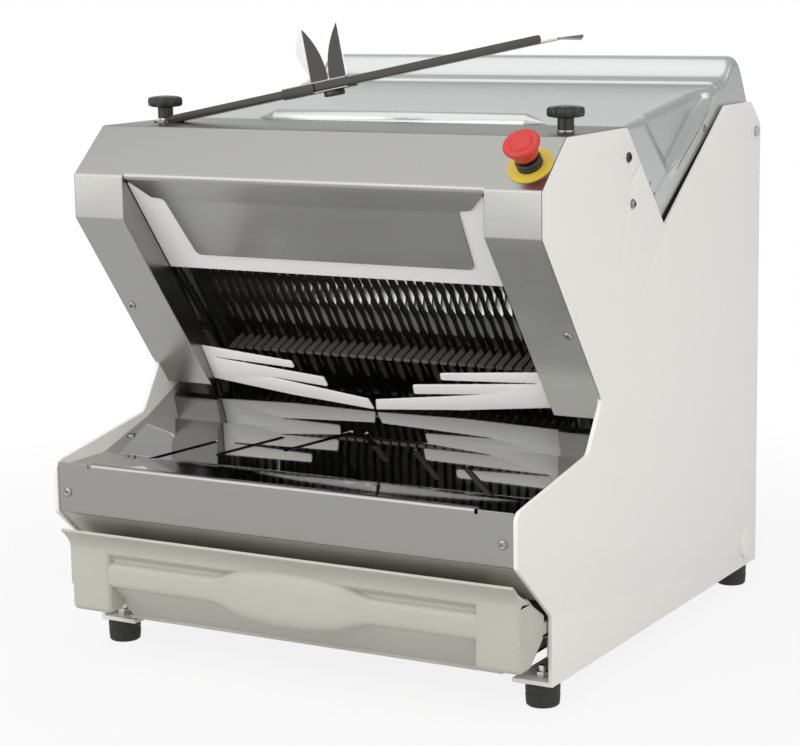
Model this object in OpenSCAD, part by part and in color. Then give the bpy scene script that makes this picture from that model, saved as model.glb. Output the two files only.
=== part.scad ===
// Table-top bread slicer.
// Two crossed blade frames run behind slanting uprights, between two side panels. A hinged lid closes the
// loading chamber, the slices come out over a polished table, and the crumbs fall into a drawer below it.
// Inside stand(), y runs back from the panels' nose and z runs up from the panels' lower edge.

/* [Side panels] */
// Width over the two side panels
body_w = 590; // [560:1:640]
// Depth from the nose to the back edge
body_d = 680; // [670:1:720]
// Thickness of the side panel plate
panel_t = 5; // [3:0.5:6]
// Height of the nose's lower corner
nose_z0 = 148; // [144:1:152]
// Height of the nose's upper corner
nose_z1 = 206; // [202:1:212]
// Rounding of the nose's upper corner
nose_r = 12; // [4:1:16]
// Where the slanting lower front edge ends, behind the nose
skirt_y = 80; // [76:1:86]
// Height at which the slanting lower front edge ends
skirt_z = 78; // [74:1:82]
// Low corner of the throat, behind the nose
sill_y = 172; // [165:1:180]
// Height of the low corner of the throat
sill_z = 234; // [230:1:240]
// Deepest corner of the throat, behind the nose
throat_y = 207; // [200:1:214]
// Height of the deepest corner of the throat
throat_z = 287; // [280:1:295]
// Rise of the panel's rear top edge above the hood
rear_rise = 6; // [2:1:16]
// Length of the panel's rear top edge
rear_top_len = 83; // [70:1:95]
// Slope of the back corner, along the depth
back_slope_y = 32; // [20:1:45]
// Slope of the back corner, along the height
back_slope_z = 28; // [20:1:40]
// Deepest point of the lid notch, behind the nose
notch_y = 380; // [370:1:390]
// Depth of the lid notch below the hood top
notch_depth = 120; // [110:1:130]
// Width of the turned-in bottom flange
flange_w = 48; // [44:1:52]
// Diameter of the round cap low on the outer face
cap_d = 38; // [20:1:50]
// Diameter of the bolt heads on the outer face
bolt_head_d = 10.5; // [8:0.5:14]

/* [Front hood] */
// Front face of the hood, behind the nose
hood_y = 61; // [56:1:66]
// Height of the corner squares
square_h = 49; // [44:1:56]
// Height of the chamfer above the corner squares
chamfer_h = 51; // [46:1:56]
// Front edge of the hood top, behind the nose
hood_top_y = 119; // [112:1:126]
// Height of the hood top
hood_top_z = 579; // [574:1:590]
// Back edge of the hood top, behind the nose
hood_back_y = 273; // [266:1:276]
// Width of each upright
upright_w = 62; // [58:1:66]
// Length of the uprights below the throat corner
upright_tail = 31; // [24:1:34]
// Depth of the uprights' inner return
return_d = 35; // [34:1:38]
// Thickness of the steel sheet parts
sheet_t = 2; // [1.5:0.5:2.5]

/* [Deflector and retainers] */
// Distance of the deflector behind the uprights' face
deflector_depth = 30; // [26:1:31]
// Length of the deflector down the slope
deflector_len = 116; // [100:1:125]
// Length of the deflector's horns
horn_len = 28; // [20:1:36]
// How far the deflector's body stands in from the uprights
deflector_inset = 42; // [34:1:50]
// Length of the white shield down the slope
shield_len = 140; // [130:1:150]
// Thickness of the white shield
shield_t = 3; // [2:0.5:3]
// Height of a retainer plate at its fixed end
retainer_h = 50.5; // [48:0.5:54]
// How far a retainer bows forward at the middle of the machine
retainer_bow = 16.6; // [10:0.2:18]
// Thickness of a retainer plate
retainer_t = 2; // [1.5:0.5:3]

/* [Blades and comb] */
// Distance between neighbouring blades
blade_pitch = 12; // [10:1:14]
// Thickness of a blade
blade_t = 0.6; // [0.5:0.1:1]
// Width of a blade
blade_w = 10; // [8:1:11]
// Distance of the blade crossing behind the uprights' face
blade_depth = 70; // [68:1:72]
// Lean of each blade set against the uprights
blade_lean = 4; // [3.8:0.1:4.3]
// Half length of a blade frame
frame_half = 212; // [206:1:216]
// Thickness of the frame bars
frame_bar = 14; // [12:1:16]
// Travel of each blade frame to either side of its middle
stroke = 12; // [8:1:13]
// Diameter of the guide rods
rod_d = 10; // [8:1:11]
// Length of a comb tooth in front of its bar
tooth_len = 44; // [43:1:48]
// Gap between two comb teeth
tooth_gap = 3.6; // [2.6:0.2:5]
// Rise of the comb and of the feed tray towards the back
feed_angle = 21; // [19:0.5:22]

/* [Exit table] */
// Height of the table's flat shelf
shelf_z = 200.5; // [198:0.5:203]
// Back edge of the flat shelf
shelf_y = 90; // [84:1:96]
// Angle of the ramp behind the shelf
ramp_angle = 17; // [15:0.5:18]
// Back edge of the ramp
ramp_y = 180; // [172:1:186]
// Angle of the apron behind the ramp
apron_angle = 25.4; // [23:0.2:26]
// Back edge of the apron
apron_y = 260; // [252:1:264]
// Length of a crumb slot between its end centres
slot_len = 74; // [60:1:78]
// Width of a crumb slot
slot_w = 7; // [5:0.5:9]
// Angle of the crumb slots across the table
slot_angle = 42; // [38:1:46]

/* [Crumb drawer] */
// Wall thickness of the drawer
drawer_t = 4; // [3:0.5:5]
// Depth of the drawer behind the nose
drawer_back_y = 388; // [370:1:390]
// Height of the drawer's lip
drawer_lip_z = 125; // [120:1:128]
// Front face of the drawer's end blocks, behind the nose
drawer_face_y = 17; // [14:1:20]
// Height at which the lip meets the end blocks
drawer_face_z = 104; // [100:1:107]
// Width of each end block
block_w = 42; // [36:1:48]
// Height of the rim's underside, on its runners
rim_z = 56; // [54:1:58]
// Height of the rim
rim_h = 16; // [12:1:18]
// Height of the tub's floor
tub_z = 12; // [9:1:16]
// Width of the hand grip's full part
grip_w = 150; // [120:1:180]

/* [Lid] */
// Rise of the lid's top towards the back
lid_angle = 6.6; // [6:0.2:7]
// Gap between the lid's sides and the panels
lid_gap = 3.5; // [2.5:0.5:5]
// Gap between the lid's front edge and the hood
front_gap = 5; // [4:0.5:7]
// How far the lid's side reaches below the notch's rear corner
lid_lap = 9.6; // [6:0.2:14]
// Width of the raised band along the lid's lower edge
lid_band_w = 38; // [30:1:42]
// Hinge axis in front of the back edge
hinge_inset = 15; // [13:1:17]
// Hinge axis below the panels' rear top edge
hinge_drop = 37; // [35:1:40]
// Diameter of the hinge pins
hinge_d = 10; // [8:1:11]
// Lid ridge in front of the back edge
ridge_inset = 70; // [64:1:76]
// Rise of the lid's ridge above the hood
ridge_rise = 62.5; // [57:0.5:68]
// Depth of the raised rim in front of the ridge
rim_band_y = 35; // [30:1:40]
// Width of the finger lip between its tips
lid_lip_w = 382; // [300:2:440]
// Radius of the finger lip
lid_lip_r = 9; // [7:0.5:11]

/* [Controls and bag holder] */
// Stop button in from the panel's outer face
estop_inset = 26; // [26:1:36]
// Diameter of the stop button's head
estop_head_d = 40; // [34:1:42]
// Diameter of the yellow disc
estop_ring_d = 50; // [46:1:52]
// Travel of the stop button
estop_travel = 4.5; // [3:0.5:5]
// Star knobs in from the panel's outer face
knob_inset = 36; // [32:1:42]
// Star knobs behind the nose
knob_y = 193; // [186:1:200]
// Diameter of the star knobs
knob_d = 41; // [36:1:46]
// Length of the bag arm along its slope
arm_len = 529; // [460:1:529]
// Rise of the bag arm
arm_angle = 11.1; // [9:0.1:12]
// Width of the bag arm
arm_w = 20; // [16:1:24]
// Height of the bag arm's front flange
arm_flange = 9; // [6:1:10]
// Height of the bag clip's wings
wing_h = 61; // [50:1:76]

/* [Drive] */
// Length of the connecting rods along the blades
conrod_run = 100; // [96:1:104]
// Diameter of the crankshaft
shaft_d = 20; // [16:1:22]
// Radius of the crank pulley's groove
crank_pulley_r = 50; // [44:1:52]
// Radius of the motor pulley's groove
motor_pulley_r = 25; // [22:1:28]
// Radius of the motor body
motor_r = 56; // [48:1:58]

/* [Feet] */
// Height of the rubber feet
foot_h = 26; // [20:1:32]
// Diameter of the rubber feet
foot_d = 38; // [30:1:40]
// Feet in from the panel's outer face
foot_inset = 20; // [19:1:25]
// Front feet behind the nose
foot_front_y = 98; // [94:1:104]
// Rear feet in front of the back edge
foot_back_inset = 34; // [28:1:44]

/* [Clearances] */
// Radial clearance of a running fit
run_gap = 0.05; // [0.02:0.01:0.1]
// Gap between faces that move past each other
slide_gap = 0.3; // [0.2:0.05:0.5]

/* [Hidden] */
$fn = 48;

white = [0.92, 0.91, 0.88];
steel = [0.66, 0.66, 0.65];
bright = [0.82, 0.83, 0.84];
silver = [0.80, 0.81, 0.81];
dark = [0.12, 0.11, 0.11];
grey = [0.40, 0.38, 0.37];
stone = [0.77, 0.76, 0.72];
black = [0.05, 0.05, 0.05];
red = [0.82, 0.16, 0.14];
yellow = [0.90, 0.78, 0.16];

outer_x = body_w / 2;
foot_x = outer_x - foot_inset;
knob_x = outer_x - knob_inset;
estop_x = outer_x - estop_inset;
inner_x = outer_x - panel_t;
upright_x = inner_x - upright_w;
bend_r = 4;
cut = 1;
deflector_lift = 13;
hood_z1 = hood_top_z - chamfer_h;
hood_z0 = hood_z1 - square_h;

// Slope of the uprights, and the points that lie depth behind their face and rise up it
lean = atan2(throat_y - hood_y, hood_z0 - throat_z);
function slope_y(depth, rise) = throat_y + depth * cos(lean) - rise * sin(lean);
function slope_z(depth, rise) = throat_z + depth * sin(lean) + rise * cos(lean);
function slope_point(depth, rise) = [slope_y(depth, rise), slope_z(depth, rise)];
slope_len = norm([throat_y - hood_y, hood_z0 - throat_z]);
deflector_top = slope_len + deflector_depth / tan(90 - lean) + deflector_lift;

// Chamfer and the stop button's place on it
chamfer_angle = atan2(hood_top_z - hood_z1, hood_top_y - hood_y);
estop_part = 0.46;
estop_y = hood_y + estop_part * (hood_top_y - hood_y);
estop_z = hood_z1 + estop_part * (hood_top_z - hood_z1);
estop_stem_r = 8;
estop_tail_r = 11;
estop_collar_r = 14;
estop_collar_h = 11;
estop_ring_t = 2;
estop_body_len = 33;
estop_bore = estop_body_len - 6;
estop_head_h = 20;

// Rear of the panels and the lid's hinge
rear_top_z = hood_top_z + rear_rise;
hinge_z = rear_top_z - hinge_drop;
ridge_z = hood_top_z + ridge_rise;
rear_top_y = body_d - back_slope_y;
notch_rear_y = rear_top_y - rear_top_len;
notch_z = hood_top_z - notch_depth;
hinge_y = body_d - hinge_inset;
ridge_y = body_d - ridge_inset;
lid_front_y = hood_back_y + front_gap;
lid_x = inner_x - lid_gap;
lid_t = 2;
lid_side_t = 3;
lid_step_y = ridge_y - rim_band_y;
lid_step_z = hood_top_z + (lid_step_y - lid_front_y) * tan(lid_angle);
lid_ear_r = 14;
lid_band_t = 2;
lid_low = [notch_y, notch_z + 1];
lid_rear_low = [notch_rear_y, rear_top_z - lid_lap];
lid_edge_angle = atan2(lid_rear_low.y - lid_low.y, lid_rear_low.x - lid_low.x);
lid_tail = [hinge_y - 8, hinge_z + 8];

// Rear panel and cable gland
rear_panel_t = 3;
rear_panel_y = hinge_y - 10;
gland_x = 90 - inner_x;
gland_z = 60;
gland_r = 10;
gland_bore_r = 4.5;

// Table and fascia
table_y = 8;
ramp_z = shelf_z + (ramp_y - shelf_y) * tan(ramp_angle);
apron_z = ramp_z + (apron_y - ramp_y) * tan(apron_angle);
apron_fold = 14;
fascia_y = 2.5;
fascia_lip = 18;
fascia_return = 58;
skirt_slope = (nose_z0 - skirt_z) / skirt_y;

// Blade frames: stiles, bushes and guide rods share the room beside the blades
rod_rear_x = inner_x - 18;
rod_front_x = rod_rear_x - 18;
bush_half = 8;
bush_len = 24;
bush_rise = 140;
stile_w = 8;
stile_t = 10;
stile_rear_x = rod_rear_x - bush_half - 25;
stile_front_x = stile_rear_x - stile_w - 1;
frame_mid = 36;
blade_room = stile_front_x - stile_w - 4;
blade_steps = floor(blade_room / blade_pitch);
rod_half = bush_rise + bush_len / 2 + stroke + 4;
bracket_t = 12;
lug_len = 40;
lug_t = 8;
lug_w = 20;
tooth_t = 4;
comb_bar_t = 8;
comb_bar_w = 16;
comb_depth = 44.4;
comb_rise = -6.1;
comb_y = slope_y(comb_depth, comb_rise);
comb_z = slope_z(comb_depth, comb_rise);
tray_y = comb_y + (tooth_len + comb_bar_w) * cos(feed_angle);
tray_z = comb_z + (tooth_len + comb_bar_w) * sin(feed_angle);

// Wrist pins of the two frames, and the crank below them
function wrist_depth(side) = blade_depth + side * sin(blade_lean) * (frame_half + lug_len);
wrist_rise = frame_mid - cos(blade_lean) * (frame_half + lug_len);
wrist_front = slope_point(wrist_depth(1), wrist_rise);
wrist_rear = slope_point(wrist_depth(-1), wrist_rise);
crank_at = (wrist_front + wrist_rear) / 2 + conrod_run * [sin(lean), -cos(lean)];
pin_step = stroke * [cos(lean), sin(lean)];
pin_front = crank_at + pin_step;
pin_rear = crank_at - pin_step;
pin_r = 8;
web_r = 28;
web_t = 10;
conrod_t = 12;
conrod_w = 12;
conrod_big_r = 16;
conrod_eye_r = 10;
wrist_r = 6;
pin_len = conrod_t + 4;
pin_side = (pin_len - conrod_t) / 2;
web_rear_x = 114;
pin_rear_x = web_rear_x + web_t;
web_mid_x = pin_rear_x + pin_len;
pin_front_x = web_mid_x + web_t;
web_front_x = pin_front_x + pin_len;
conrod_front_x = pin_front_x + pin_side;
conrod_rear_x = pin_rear_x + pin_side;
shaft_end_x = inner_x - 1;
bearing_w = 22;
bearing_h = 44;
pulley_x = web_front_x + 30;
pulley_w = 20;
pulley_rim = 3;
belt_t = 5;
belt_w = 14;
motor_base_t = 5;
motor_gap = 13.4;
motor_foot_h = 6;
motor_y = rear_panel_y - motor_r - motor_gap;
motor_z = panel_t + motor_base_t + motor_foot_h + motor_r;
motor_at = [motor_y, motor_z];
motor_len = 150;
motor_x = pulley_x - 22 - motor_len;
motor_shaft_r = 8;

// Drawer
drawer_x = inner_x - 2;
tub_x = outer_x - flange_w - 4;
block_x = drawer_x - block_w;
drawer_lip_y = 1;
drawer_bend_r = drawer_t + 1;
block_low_z = 28;
block_back_y = skirt_y - 4;
recess_y = drawer_face_y + 11;
grip_z0 = 57;
grip_z1 = 83;
grip_y = 8;
grip_taper = 26;
runner_w = 28;
runner_t = 3;

// Star knobs and bag holder
knob_stud_r = 4;
knob_stem_r = 9;
knob_stem_h = 13;
knob_head_h = 13;
knob_foot_h = 3;
knob_washer_h = 2;
knob_washer_r = 10;
knob_lobes = 8;
knob_thread = 8;
arm_t = 2;
arm_bend = [18 - knob_x, hood_top_z + slide_gap];
clip_at = 156;
clip_len = 86;
clip_t = 1.5;
clip_floor_z = -arm_t - slide_gap - clip_t;
clamp_along = 61;
wing_w = 22;

clamp_r = 3;

// Screws and feet
screw_head_r = 5.5;
screw_head_h = 2.5;
foot_stud_r = 4;
foot_bore = foot_h * 0.6;

// Vector and outline helpers
function unit(v) = v / norm(v);
function turned(v) = [-v.y, v.x];
function reversed(p) = [for (i = [len(p) - 1 : -1 : 0]) p[i]];
function flat(p) = [p[0], p[1]];

// Points of the arc that rounds the corner b between a and c with radius r
function corner(a, b, c, r, steps = 5) =
    let (u = unit(a - b), v = unit(c - b), half = acos(u * v) / 2, mid = b + unit(u + v) * r / sin(half),
         start = b + u * r / tan(half) - mid, end = b + v * r / tan(half) - mid,
         sweep = (start.x * end.y - start.y * end.x > 0 ? 1 : -1) * (180 - 2 * half))
    [for (i = [0 : steps]) let (a = sweep * i / steps)
        mid + [start.x * cos(a) - start.y * sin(a), start.x * sin(a) + start.y * cos(a)]];

// Closed outline with each corner [x, y, r] rounded by its own radius
function rounded(p) = [for (i = [0 : len(p) - 1])
    let (a = flat(p[(i + len(p) - 1) % len(p)]), b = flat(p[i]), c = flat(p[(i + 1) % len(p)]))
    each p[i][2] > 0 ? corner(a, b, c, p[i][2]) : [b]];

// Open path with its inner corners rounded by r
function bent(p, r) = [for (i = [0 : len(p) - 1])
    each i == 0 || i == len(p) - 1 ? [p[i]] : corner(p[i - 1], p[i], p[i + 1], r, 4)];

// Open path moved to its left by t, mitred at its corners
function beside(p, t) = [for (i = [0 : len(p) - 1])
    let (a = turned(unit(p[max(i, 1)] - p[max(i, 1) - 1])),
         b = turned(unit(p[min(i, len(p) - 2) + 1] - p[min(i, len(p) - 2)])))
    p[i] + (a + b) * t / (1 + a * b)];

module stand() {
    translate([0, -body_d / 2, foot_h]) children();
}

module both_sides() {
    children();
    mirror([1, 0, 0]) children();
}

module on_side(side) {
    if (side < 0) mirror([1, 0, 0]) children();
    else children();
}

// Extrudes an outline drawn in y and z from x0 to x1
module across(x0, x1) {
    translate([x0, 0, 0]) rotate([90, 0, 90]) linear_extrude(x1 - x0) children();
}

// Sheet of thickness t to the left of a path drawn in y and z
module sheet(path, t, x0, x1) {
    across(x0, x1) polygon(concat(path, reversed(beside(path, t))));
}

// Round bar along x at the point at = [y, z]
module x_bar(at, r, x0, x1) {
    translate([x0, at.x, at.y]) rotate([0, 90, 0]) cylinder(h = x1 - x0, r = r);
}

// Local frame of the uprights: y goes in behind their face, z goes up along them
module slope_frame() {
    translate([0, throat_y, throat_z]) rotate([lean, 0, 0]) children();
}

// Plate parallel to the uprights, drawn in x and in rise
module slope_plate(depth, t) {
    slope_frame() translate([0, depth + t, 0]) rotate([90, 0, 0]) linear_extrude(t) children();
}

// Local frame of one blade set: z goes along the blades from the middle of their frame
module blade_plane(side) {
    slope_frame() translate([0, blade_depth, frame_mid]) rotate([side * blade_lean, 0, 0]) children();
}

// Local frame of the stop button: z stands out of the chamfer
module estop_frame() {
    translate([estop_x, estop_y, estop_z]) rotate([chamfer_angle, 0, 0]) children();
}

module panel_outline() {
    polygon(rounded([
        [hood_top_y, hood_top_z, 6], [hood_y, hood_z1, 4], [hood_y, hood_z0, 4], [throat_y, throat_z, 6],
        [sill_y, sill_z, 10], [0, nose_z1, nose_r], [0, nose_z0, 4], [skirt_y, skirt_z, 4],
        [skirt_y, 0, 0], [body_d, 0, 0], [body_d, rear_top_z - back_slope_z, 8],
        [rear_top_y, rear_top_z, 8], [notch_rear_y, rear_top_z, 4], [notch_y, notch_z, 2],
        [hood_back_y, hood_top_z, 4]
    ]));
}

module side_panel(side) {
    slit_len = 28;
    slit_w = 1.6;
    slit_at = [hood_back_y + 24, hood_top_z - 51];
    color(white) stand() on_side(side) {
        difference() {
            across(inner_x, outer_x) panel_outline();
            x_bar([hinge_y, hinge_z], hinge_d / 2 + run_gap, inner_x - cut, outer_x + cut);
            translate([inner_x - cut, slit_at.x, slit_at.y]) rotate([26, 0, 0])
                translate([0, -slit_len / 2, -slit_w / 2]) cube([panel_t + 2 * cut, slit_len, slit_w]);
        }
        difference() {
            translate([outer_x - flange_w, skirt_y, 0]) cube([flange_w - panel_t, body_d - skirt_y, panel_t]);
            for (y = [foot_front_y, body_d - foot_back_inset])
                translate([foot_x, y, -cut]) cylinder(h = panel_t + 2 * cut, r = foot_stud_r + run_gap);
        }
    }
}

module hood_top() {
    back_fold = 15;
    path = bent([[hood_back_y, hood_top_z - back_fold], [hood_back_y, hood_top_z],
                 [hood_top_y, hood_top_z], [hood_y, hood_z1]], bend_r);
    difference() {
        sheet(path, sheet_t, -inner_x, inner_x);
        both_sides() translate([knob_x, knob_y, hood_top_z - 3 * sheet_t])
            cylinder(h = 5 * sheet_t, r = knob_stud_r + run_gap);
        estop_frame() translate([0, 0, -3 * sheet_t]) cylinder(h = 5 * sheet_t, r = estop_tail_r + run_gap);
    }
}

module upright() {
    low = slope_point(0, -upright_tail);
    face = bent([[hood_y, hood_z1], [hood_y, hood_z0], low], bend_r);
    sheet(face, sheet_t, upright_x, inner_x);
    across(upright_x, upright_x + sheet_t)
        polygon([[hood_y + cut, hood_z1], [hood_y + cut, hood_z0], low, slope_point(return_d, -upright_tail),
                 slope_point(return_d, deflector_top - 7)]);
}

module front_hood() {
    color(steel) stand() {
        hood_top();
        both_sides() upright();
    }
}

module mirrored_outline(half) {
    polygon(concat(half, reversed([for (p = half) [-p.x, p.y]])));
}

module deflector_plate() {
    shoulder = upright_x - deflector_inset;
    foot_in = 8;
    foot_r = 8;
    color(steel) stand() slope_plate(deflector_depth, sheet_t) mirrored_outline([
        [upright_x, deflector_top], [upright_x, deflector_top - 1],
        [shoulder + 16, deflector_top - horn_len], [shoulder, deflector_top - horn_len - 2],
        [shoulder - foot_in, deflector_top - deflector_len + foot_r],
        [shoulder - foot_in - foot_r, deflector_top - deflector_len]
    ]);
}

module blade_shield() {
    top = deflector_top - 9;
    low = deflector_top - shield_len;
    color(white) stand() slope_plate(deflector_depth + sheet_t, shield_t)
        translate([-upright_x, low]) square([2 * upright_x, top - low]);
}

// Retainer plate with three fingers, drawn from its fixed end along x and up along y
module retainer_outline() {
    reach = upright_x / cos(atan(retainer_bow / upright_x));
    end_in = 0.25;
    drop = 12.2;
    slit_r = 0.8;
    low_slit = [reach * 0.38, 15];
    top_slit = [reach * 0.066, 34];
    middle_tip = reach * 0.75;
    top_tip = reach * 0.575;
    polygon([
        [end_in, 0], [reach / 2, -drop * 0.7], [reach - 1.4, -drop], [reach - 5, 2.6],
        low_slit + [2, -slit_r], low_slit, low_slit + [2, slit_r],
        [middle_tip, 13.5], [middle_tip - 2, 27],
        top_slit + [2, -slit_r], top_slit, top_slit + [2, slit_r],
        [top_tip, 35.4], [top_tip - 1, 45.3], [end_in, retainer_h]
    ]);
}

module retainer(side) {
    foot_depth = 11.8;
    foot_rise = -29;
    tip_back = 6.4;
    color(white) stand() on_side(-side) slope_frame() translate([-upright_x, foot_depth, foot_rise])
        rotate([-tip_back, 0, 0]) rotate([0, 0, -atan(retainer_bow / upright_x)])
        rotate([90, 0, 0]) linear_extrude(retainer_t) retainer_outline();
}

module crumb_slot(x, y) {
    translate([x, y, shelf_z]) rotate([0, 0, slot_angle])
        linear_extrude(80, center = true) {
            square([slot_len, slot_w], center = true);
            for (end = [-1, 1]) translate([end * slot_len / 2, 0]) circle(d = slot_w);
        }
}

module bread_table() {
    slot_step_x = 77;
    slot_step_y = 24;
    first_x = 38;
    first_y = 160;
    path = bent([[table_y, shelf_z], [shelf_y, shelf_z], [ramp_y, ramp_z], [apron_y, apron_z],
                 [apron_y + 3, apron_z - apron_fold]], 6);
    color(bright) stand() difference() {
        sheet(path, -sheet_t, -inner_x, inner_x);
        both_sides() for (i = [0 : 2]) crumb_slot(-first_x - i * slot_step_x, first_y - i * slot_step_y);
    }
}

module front_fascia() {
    low = nose_z0 + 1;
    path = bent([[fascia_lip, shelf_z + sheet_t], [fascia_y, shelf_z + sheet_t], [fascia_y, low],
                 [fascia_return, low - (fascia_return - fascia_y) * skirt_slope]], bend_r);
    color(steel) stand() sheet(path, sheet_t, -inner_x, inner_x);
}

module feed_tray() {
    back_y = rear_panel_y - 12;
    back_z = tray_z + (back_y - tray_y) * tan(feed_angle);
    path = bent([[tray_y, tray_z], [back_y, back_z], [back_y + 8, back_z + 24]], 6);
    color(bright) stand() sheet(path, -sheet_t, -inner_x, inner_x);
}

module guide_comb() {
    color(grey) stand() translate([0, comb_y, comb_z]) rotate([feed_angle, 0, 0]) {
        for (i = [-blade_steps : blade_steps - 1])
            translate([(i + 0.5) * blade_pitch - (blade_pitch - tooth_gap) / 2, 0, -tooth_t])
                cube([blade_pitch - tooth_gap, tooth_len + cut, tooth_t]);
        translate([-inner_x, tooth_len, -comb_bar_t]) cube([2 * inner_x, comb_bar_w, comb_bar_t]);
    }
}

module rear_panel() {
    top_z = hinge_z - lid_ear_r - 4;
    lip_z = hinge_z + 2;
    lip_x = lid_x - lid_side_t - 10;
    low_z = panel_t;
    vent_w = 90;
    vent_h = 5;
    vent_step = 14;
    vent_rows = 8;
    vent_x = [-40, 70];
    vent_z = 60;
    color(white) stand() difference() {
        union() {
            translate([-inner_x, rear_panel_y, low_z]) cube([2 * inner_x, rear_panel_t, top_z - low_z]);
            translate([-lip_x, rear_panel_y, low_z]) cube([2 * lip_x, rear_panel_t, lip_z - low_z]);
        }
        for (x = vent_x, i = [0 : vent_rows - 1])
            translate([x, rear_panel_y - cut, vent_z + i * vent_step])
                cube([vent_w, rear_panel_t + 2 * cut, vent_h]);
        translate([gland_x, rear_panel_y - cut, gland_z]) rotate([-90, 0, 0])
            cylinder(h = rear_panel_t + 2 * cut, r = gland_r + run_gap);
    }
}

module cable_gland() {
    nut_r = 14;
    nut_t = 6;
    tail = 12;
    color(black) stand() translate([gland_x, rear_panel_y, gland_z]) rotate([-90, 0, 0]) difference() {
        union() {
            translate([0, 0, -nut_t]) cylinder(h = nut_t, r = nut_r, $fn = 6);
            translate([0, 0, -nut_t]) cylinder(h = nut_t + rear_panel_t + nut_t + tail, r = gland_r);
            translate([0, 0, rear_panel_t]) cylinder(h = nut_t, r = nut_r, $fn = 6);
        }
        translate([0, 0, -nut_t - cut])
            cylinder(h = 2 * nut_t + rear_panel_t + tail + 2 * cut, r = gland_bore_r);
    }
}

module tie_bars() {
    bar_r = 10;
    front = [skirt_y + 3 * bar_r, nose_z0 + 17];
    middle = crank_at + [30, 147];
    rear = [rear_panel_y - 55, throat_z + 43];
    color(steel) stand() for (at = [front, middle, rear]) x_bar(at, bar_r, -inner_x, inner_x);
}

module drawer_runners() {
    leg_h = 24;
    front_y = skirt_y + 4;
    top_z = rim_z - slide_gap;
    color(steel) stand() both_sides() {
        translate([inner_x - runner_w, front_y, top_z - runner_t])
            cube([runner_w, drawer_back_y - front_y, runner_t]);
        translate([inner_x - runner_t, front_y, top_z - leg_h])
            cube([runner_t, drawer_back_y - front_y, leg_h]);
    }
}

module at_feet() {
    both_sides() for (y = [foot_front_y, body_d - foot_back_inset]) translate([foot_x, y, 0]) children();
}

module feet() {
    edge = 3;
    r = foot_d / 2;
    color(black) stand() at_feet() difference() {
        rotate_extrude() polygon([[0, -foot_h], [r - edge, -foot_h], [r - edge / 3, -foot_h + edge],
                                  [r, -edge], [r - edge, 0], [0, 0]]);
        translate([0, 0, -foot_bore]) cylinder(h = foot_bore + cut, r = foot_stud_r + run_gap);
    }
}

module foot_bolts() {
    nut_r = 7.5;
    nut_t = 6.5;
    stud_top = 18;
    stud_low = foot_bore - 1;
    color(bright) stand() at_feet() {
        translate([0, 0, -stud_low]) cylinder(h = stud_low + stud_top, r = foot_stud_r);
        translate([0, 0, panel_t]) cylinder(h = nut_t, r = nut_r, $fn = 6);
    }
}

module panel_bolts() {
    head_t = 3;
    upper = [hood_back_y + 3, hood_top_z - 33];
    lower = [hood_back_y + 14, hood_top_z - 85];
    color(bright) stand() both_sides() for (at = [upper, lower])
        x_bar(at, bolt_head_d / 2, outer_x, outer_x + head_t);
}

module hood_screws() {
    upright_rise = 100.6;
    screw_in = 7;
    fascia_in = 13;
    fascia_screw_z = nose_z0 + 24;
    table_in = 9;
    table_screw_y = 132;
    color(bright) stand() both_sides() {
        slope_frame() translate([inner_x - screw_in, 0, upright_rise]) rotate([90, 0, 0])
            cylinder(h = screw_head_h, r = screw_head_r);
        translate([inner_x - fascia_in, fascia_y, fascia_screw_z]) rotate([90, 0, 0])
            cylinder(h = screw_head_h, r = screw_head_r);
        translate([inner_x - table_in, table_screw_y, shelf_z + (table_screw_y - shelf_y) * tan(ramp_angle)])
            rotate([ramp_angle, 0, 0]) cylinder(h = screw_head_h, r = screw_head_r);
    }
}

module side_caps() {
    cap_t = 3;
    cap_z = 28;
    color(white) stand() both_sides()
        x_bar([body_d - foot_back_inset, cap_z], cap_d / 2, outer_x, outer_x + cap_t);
}

module hinge_pins() {
    head_t = 3;
    reach = lid_gap + lid_side_t + 6;
    color(bright) stand() both_sides() {
        x_bar([hinge_y, hinge_z], hinge_d / 2, inner_x - reach, outer_x + cut);
        x_bar([hinge_y, hinge_z], bolt_head_d / 2 + 1, outer_x, outer_x + head_t);
    }
}

module estop_ring() {
    color(yellow) stand() estop_frame() difference() {
        cylinder(h = estop_ring_t, d = estop_ring_d);
        translate([0, 0, -cut]) cylinder(h = estop_ring_t + 2 * cut, r = estop_tail_r + run_gap);
    }
}

module estop_collar() {
    tail = sheet_t + 2;
    color(black) stand() estop_frame() difference() {
        union() {
            translate([0, 0, estop_ring_t]) cylinder(h = estop_collar_h - estop_ring_t, r = estop_collar_r);
            translate([0, 0, -tail]) cylinder(h = tail + estop_ring_t, r = estop_tail_r);
        }
        translate([0, 0, -tail - cut])
            cylinder(h = tail + estop_collar_h + 2 * cut, r = estop_stem_r + run_gap);
    }
}

module estop_contact() {
    top = sheet_t + 2;
    color(dark) stand() estop_frame() difference() {
        translate([0, 0, -estop_body_len]) cylinder(h = estop_body_len - top, r = estop_collar_r);
        translate([0, 0, -estop_bore]) cylinder(h = estop_bore, r = estop_stem_r + run_gap);
    }
}

module estop_plunger() {
    low = estop_bore - estop_travel - 2;
    color(black) stand() estop_frame() translate([0, 0, -low])
        cylinder(h = low + estop_collar_h + estop_travel + 3, r = estop_stem_r);
}

module estop_head() {
    low = estop_collar_h + estop_travel + 0.5;
    rim = 9;
    seat = 2.5;
    color(red) stand() estop_frame() translate([0, 0, low]) difference() {
        rotate_extrude() polygon([[0, 0], [estop_head_d / 2 - 5, 0], [estop_head_d / 2 - 1, 4],
                                  [estop_head_d / 2, rim], [estop_head_d / 2 - 2, estop_head_h - 6],
                                  [estop_head_d / 2 - 7, estop_head_h - 1.5], [0, estop_head_h]]);
        translate([0, 0, -cut]) cylinder(h = seat + cut + slide_gap, r = estop_stem_r + run_gap);
    }
}

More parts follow.
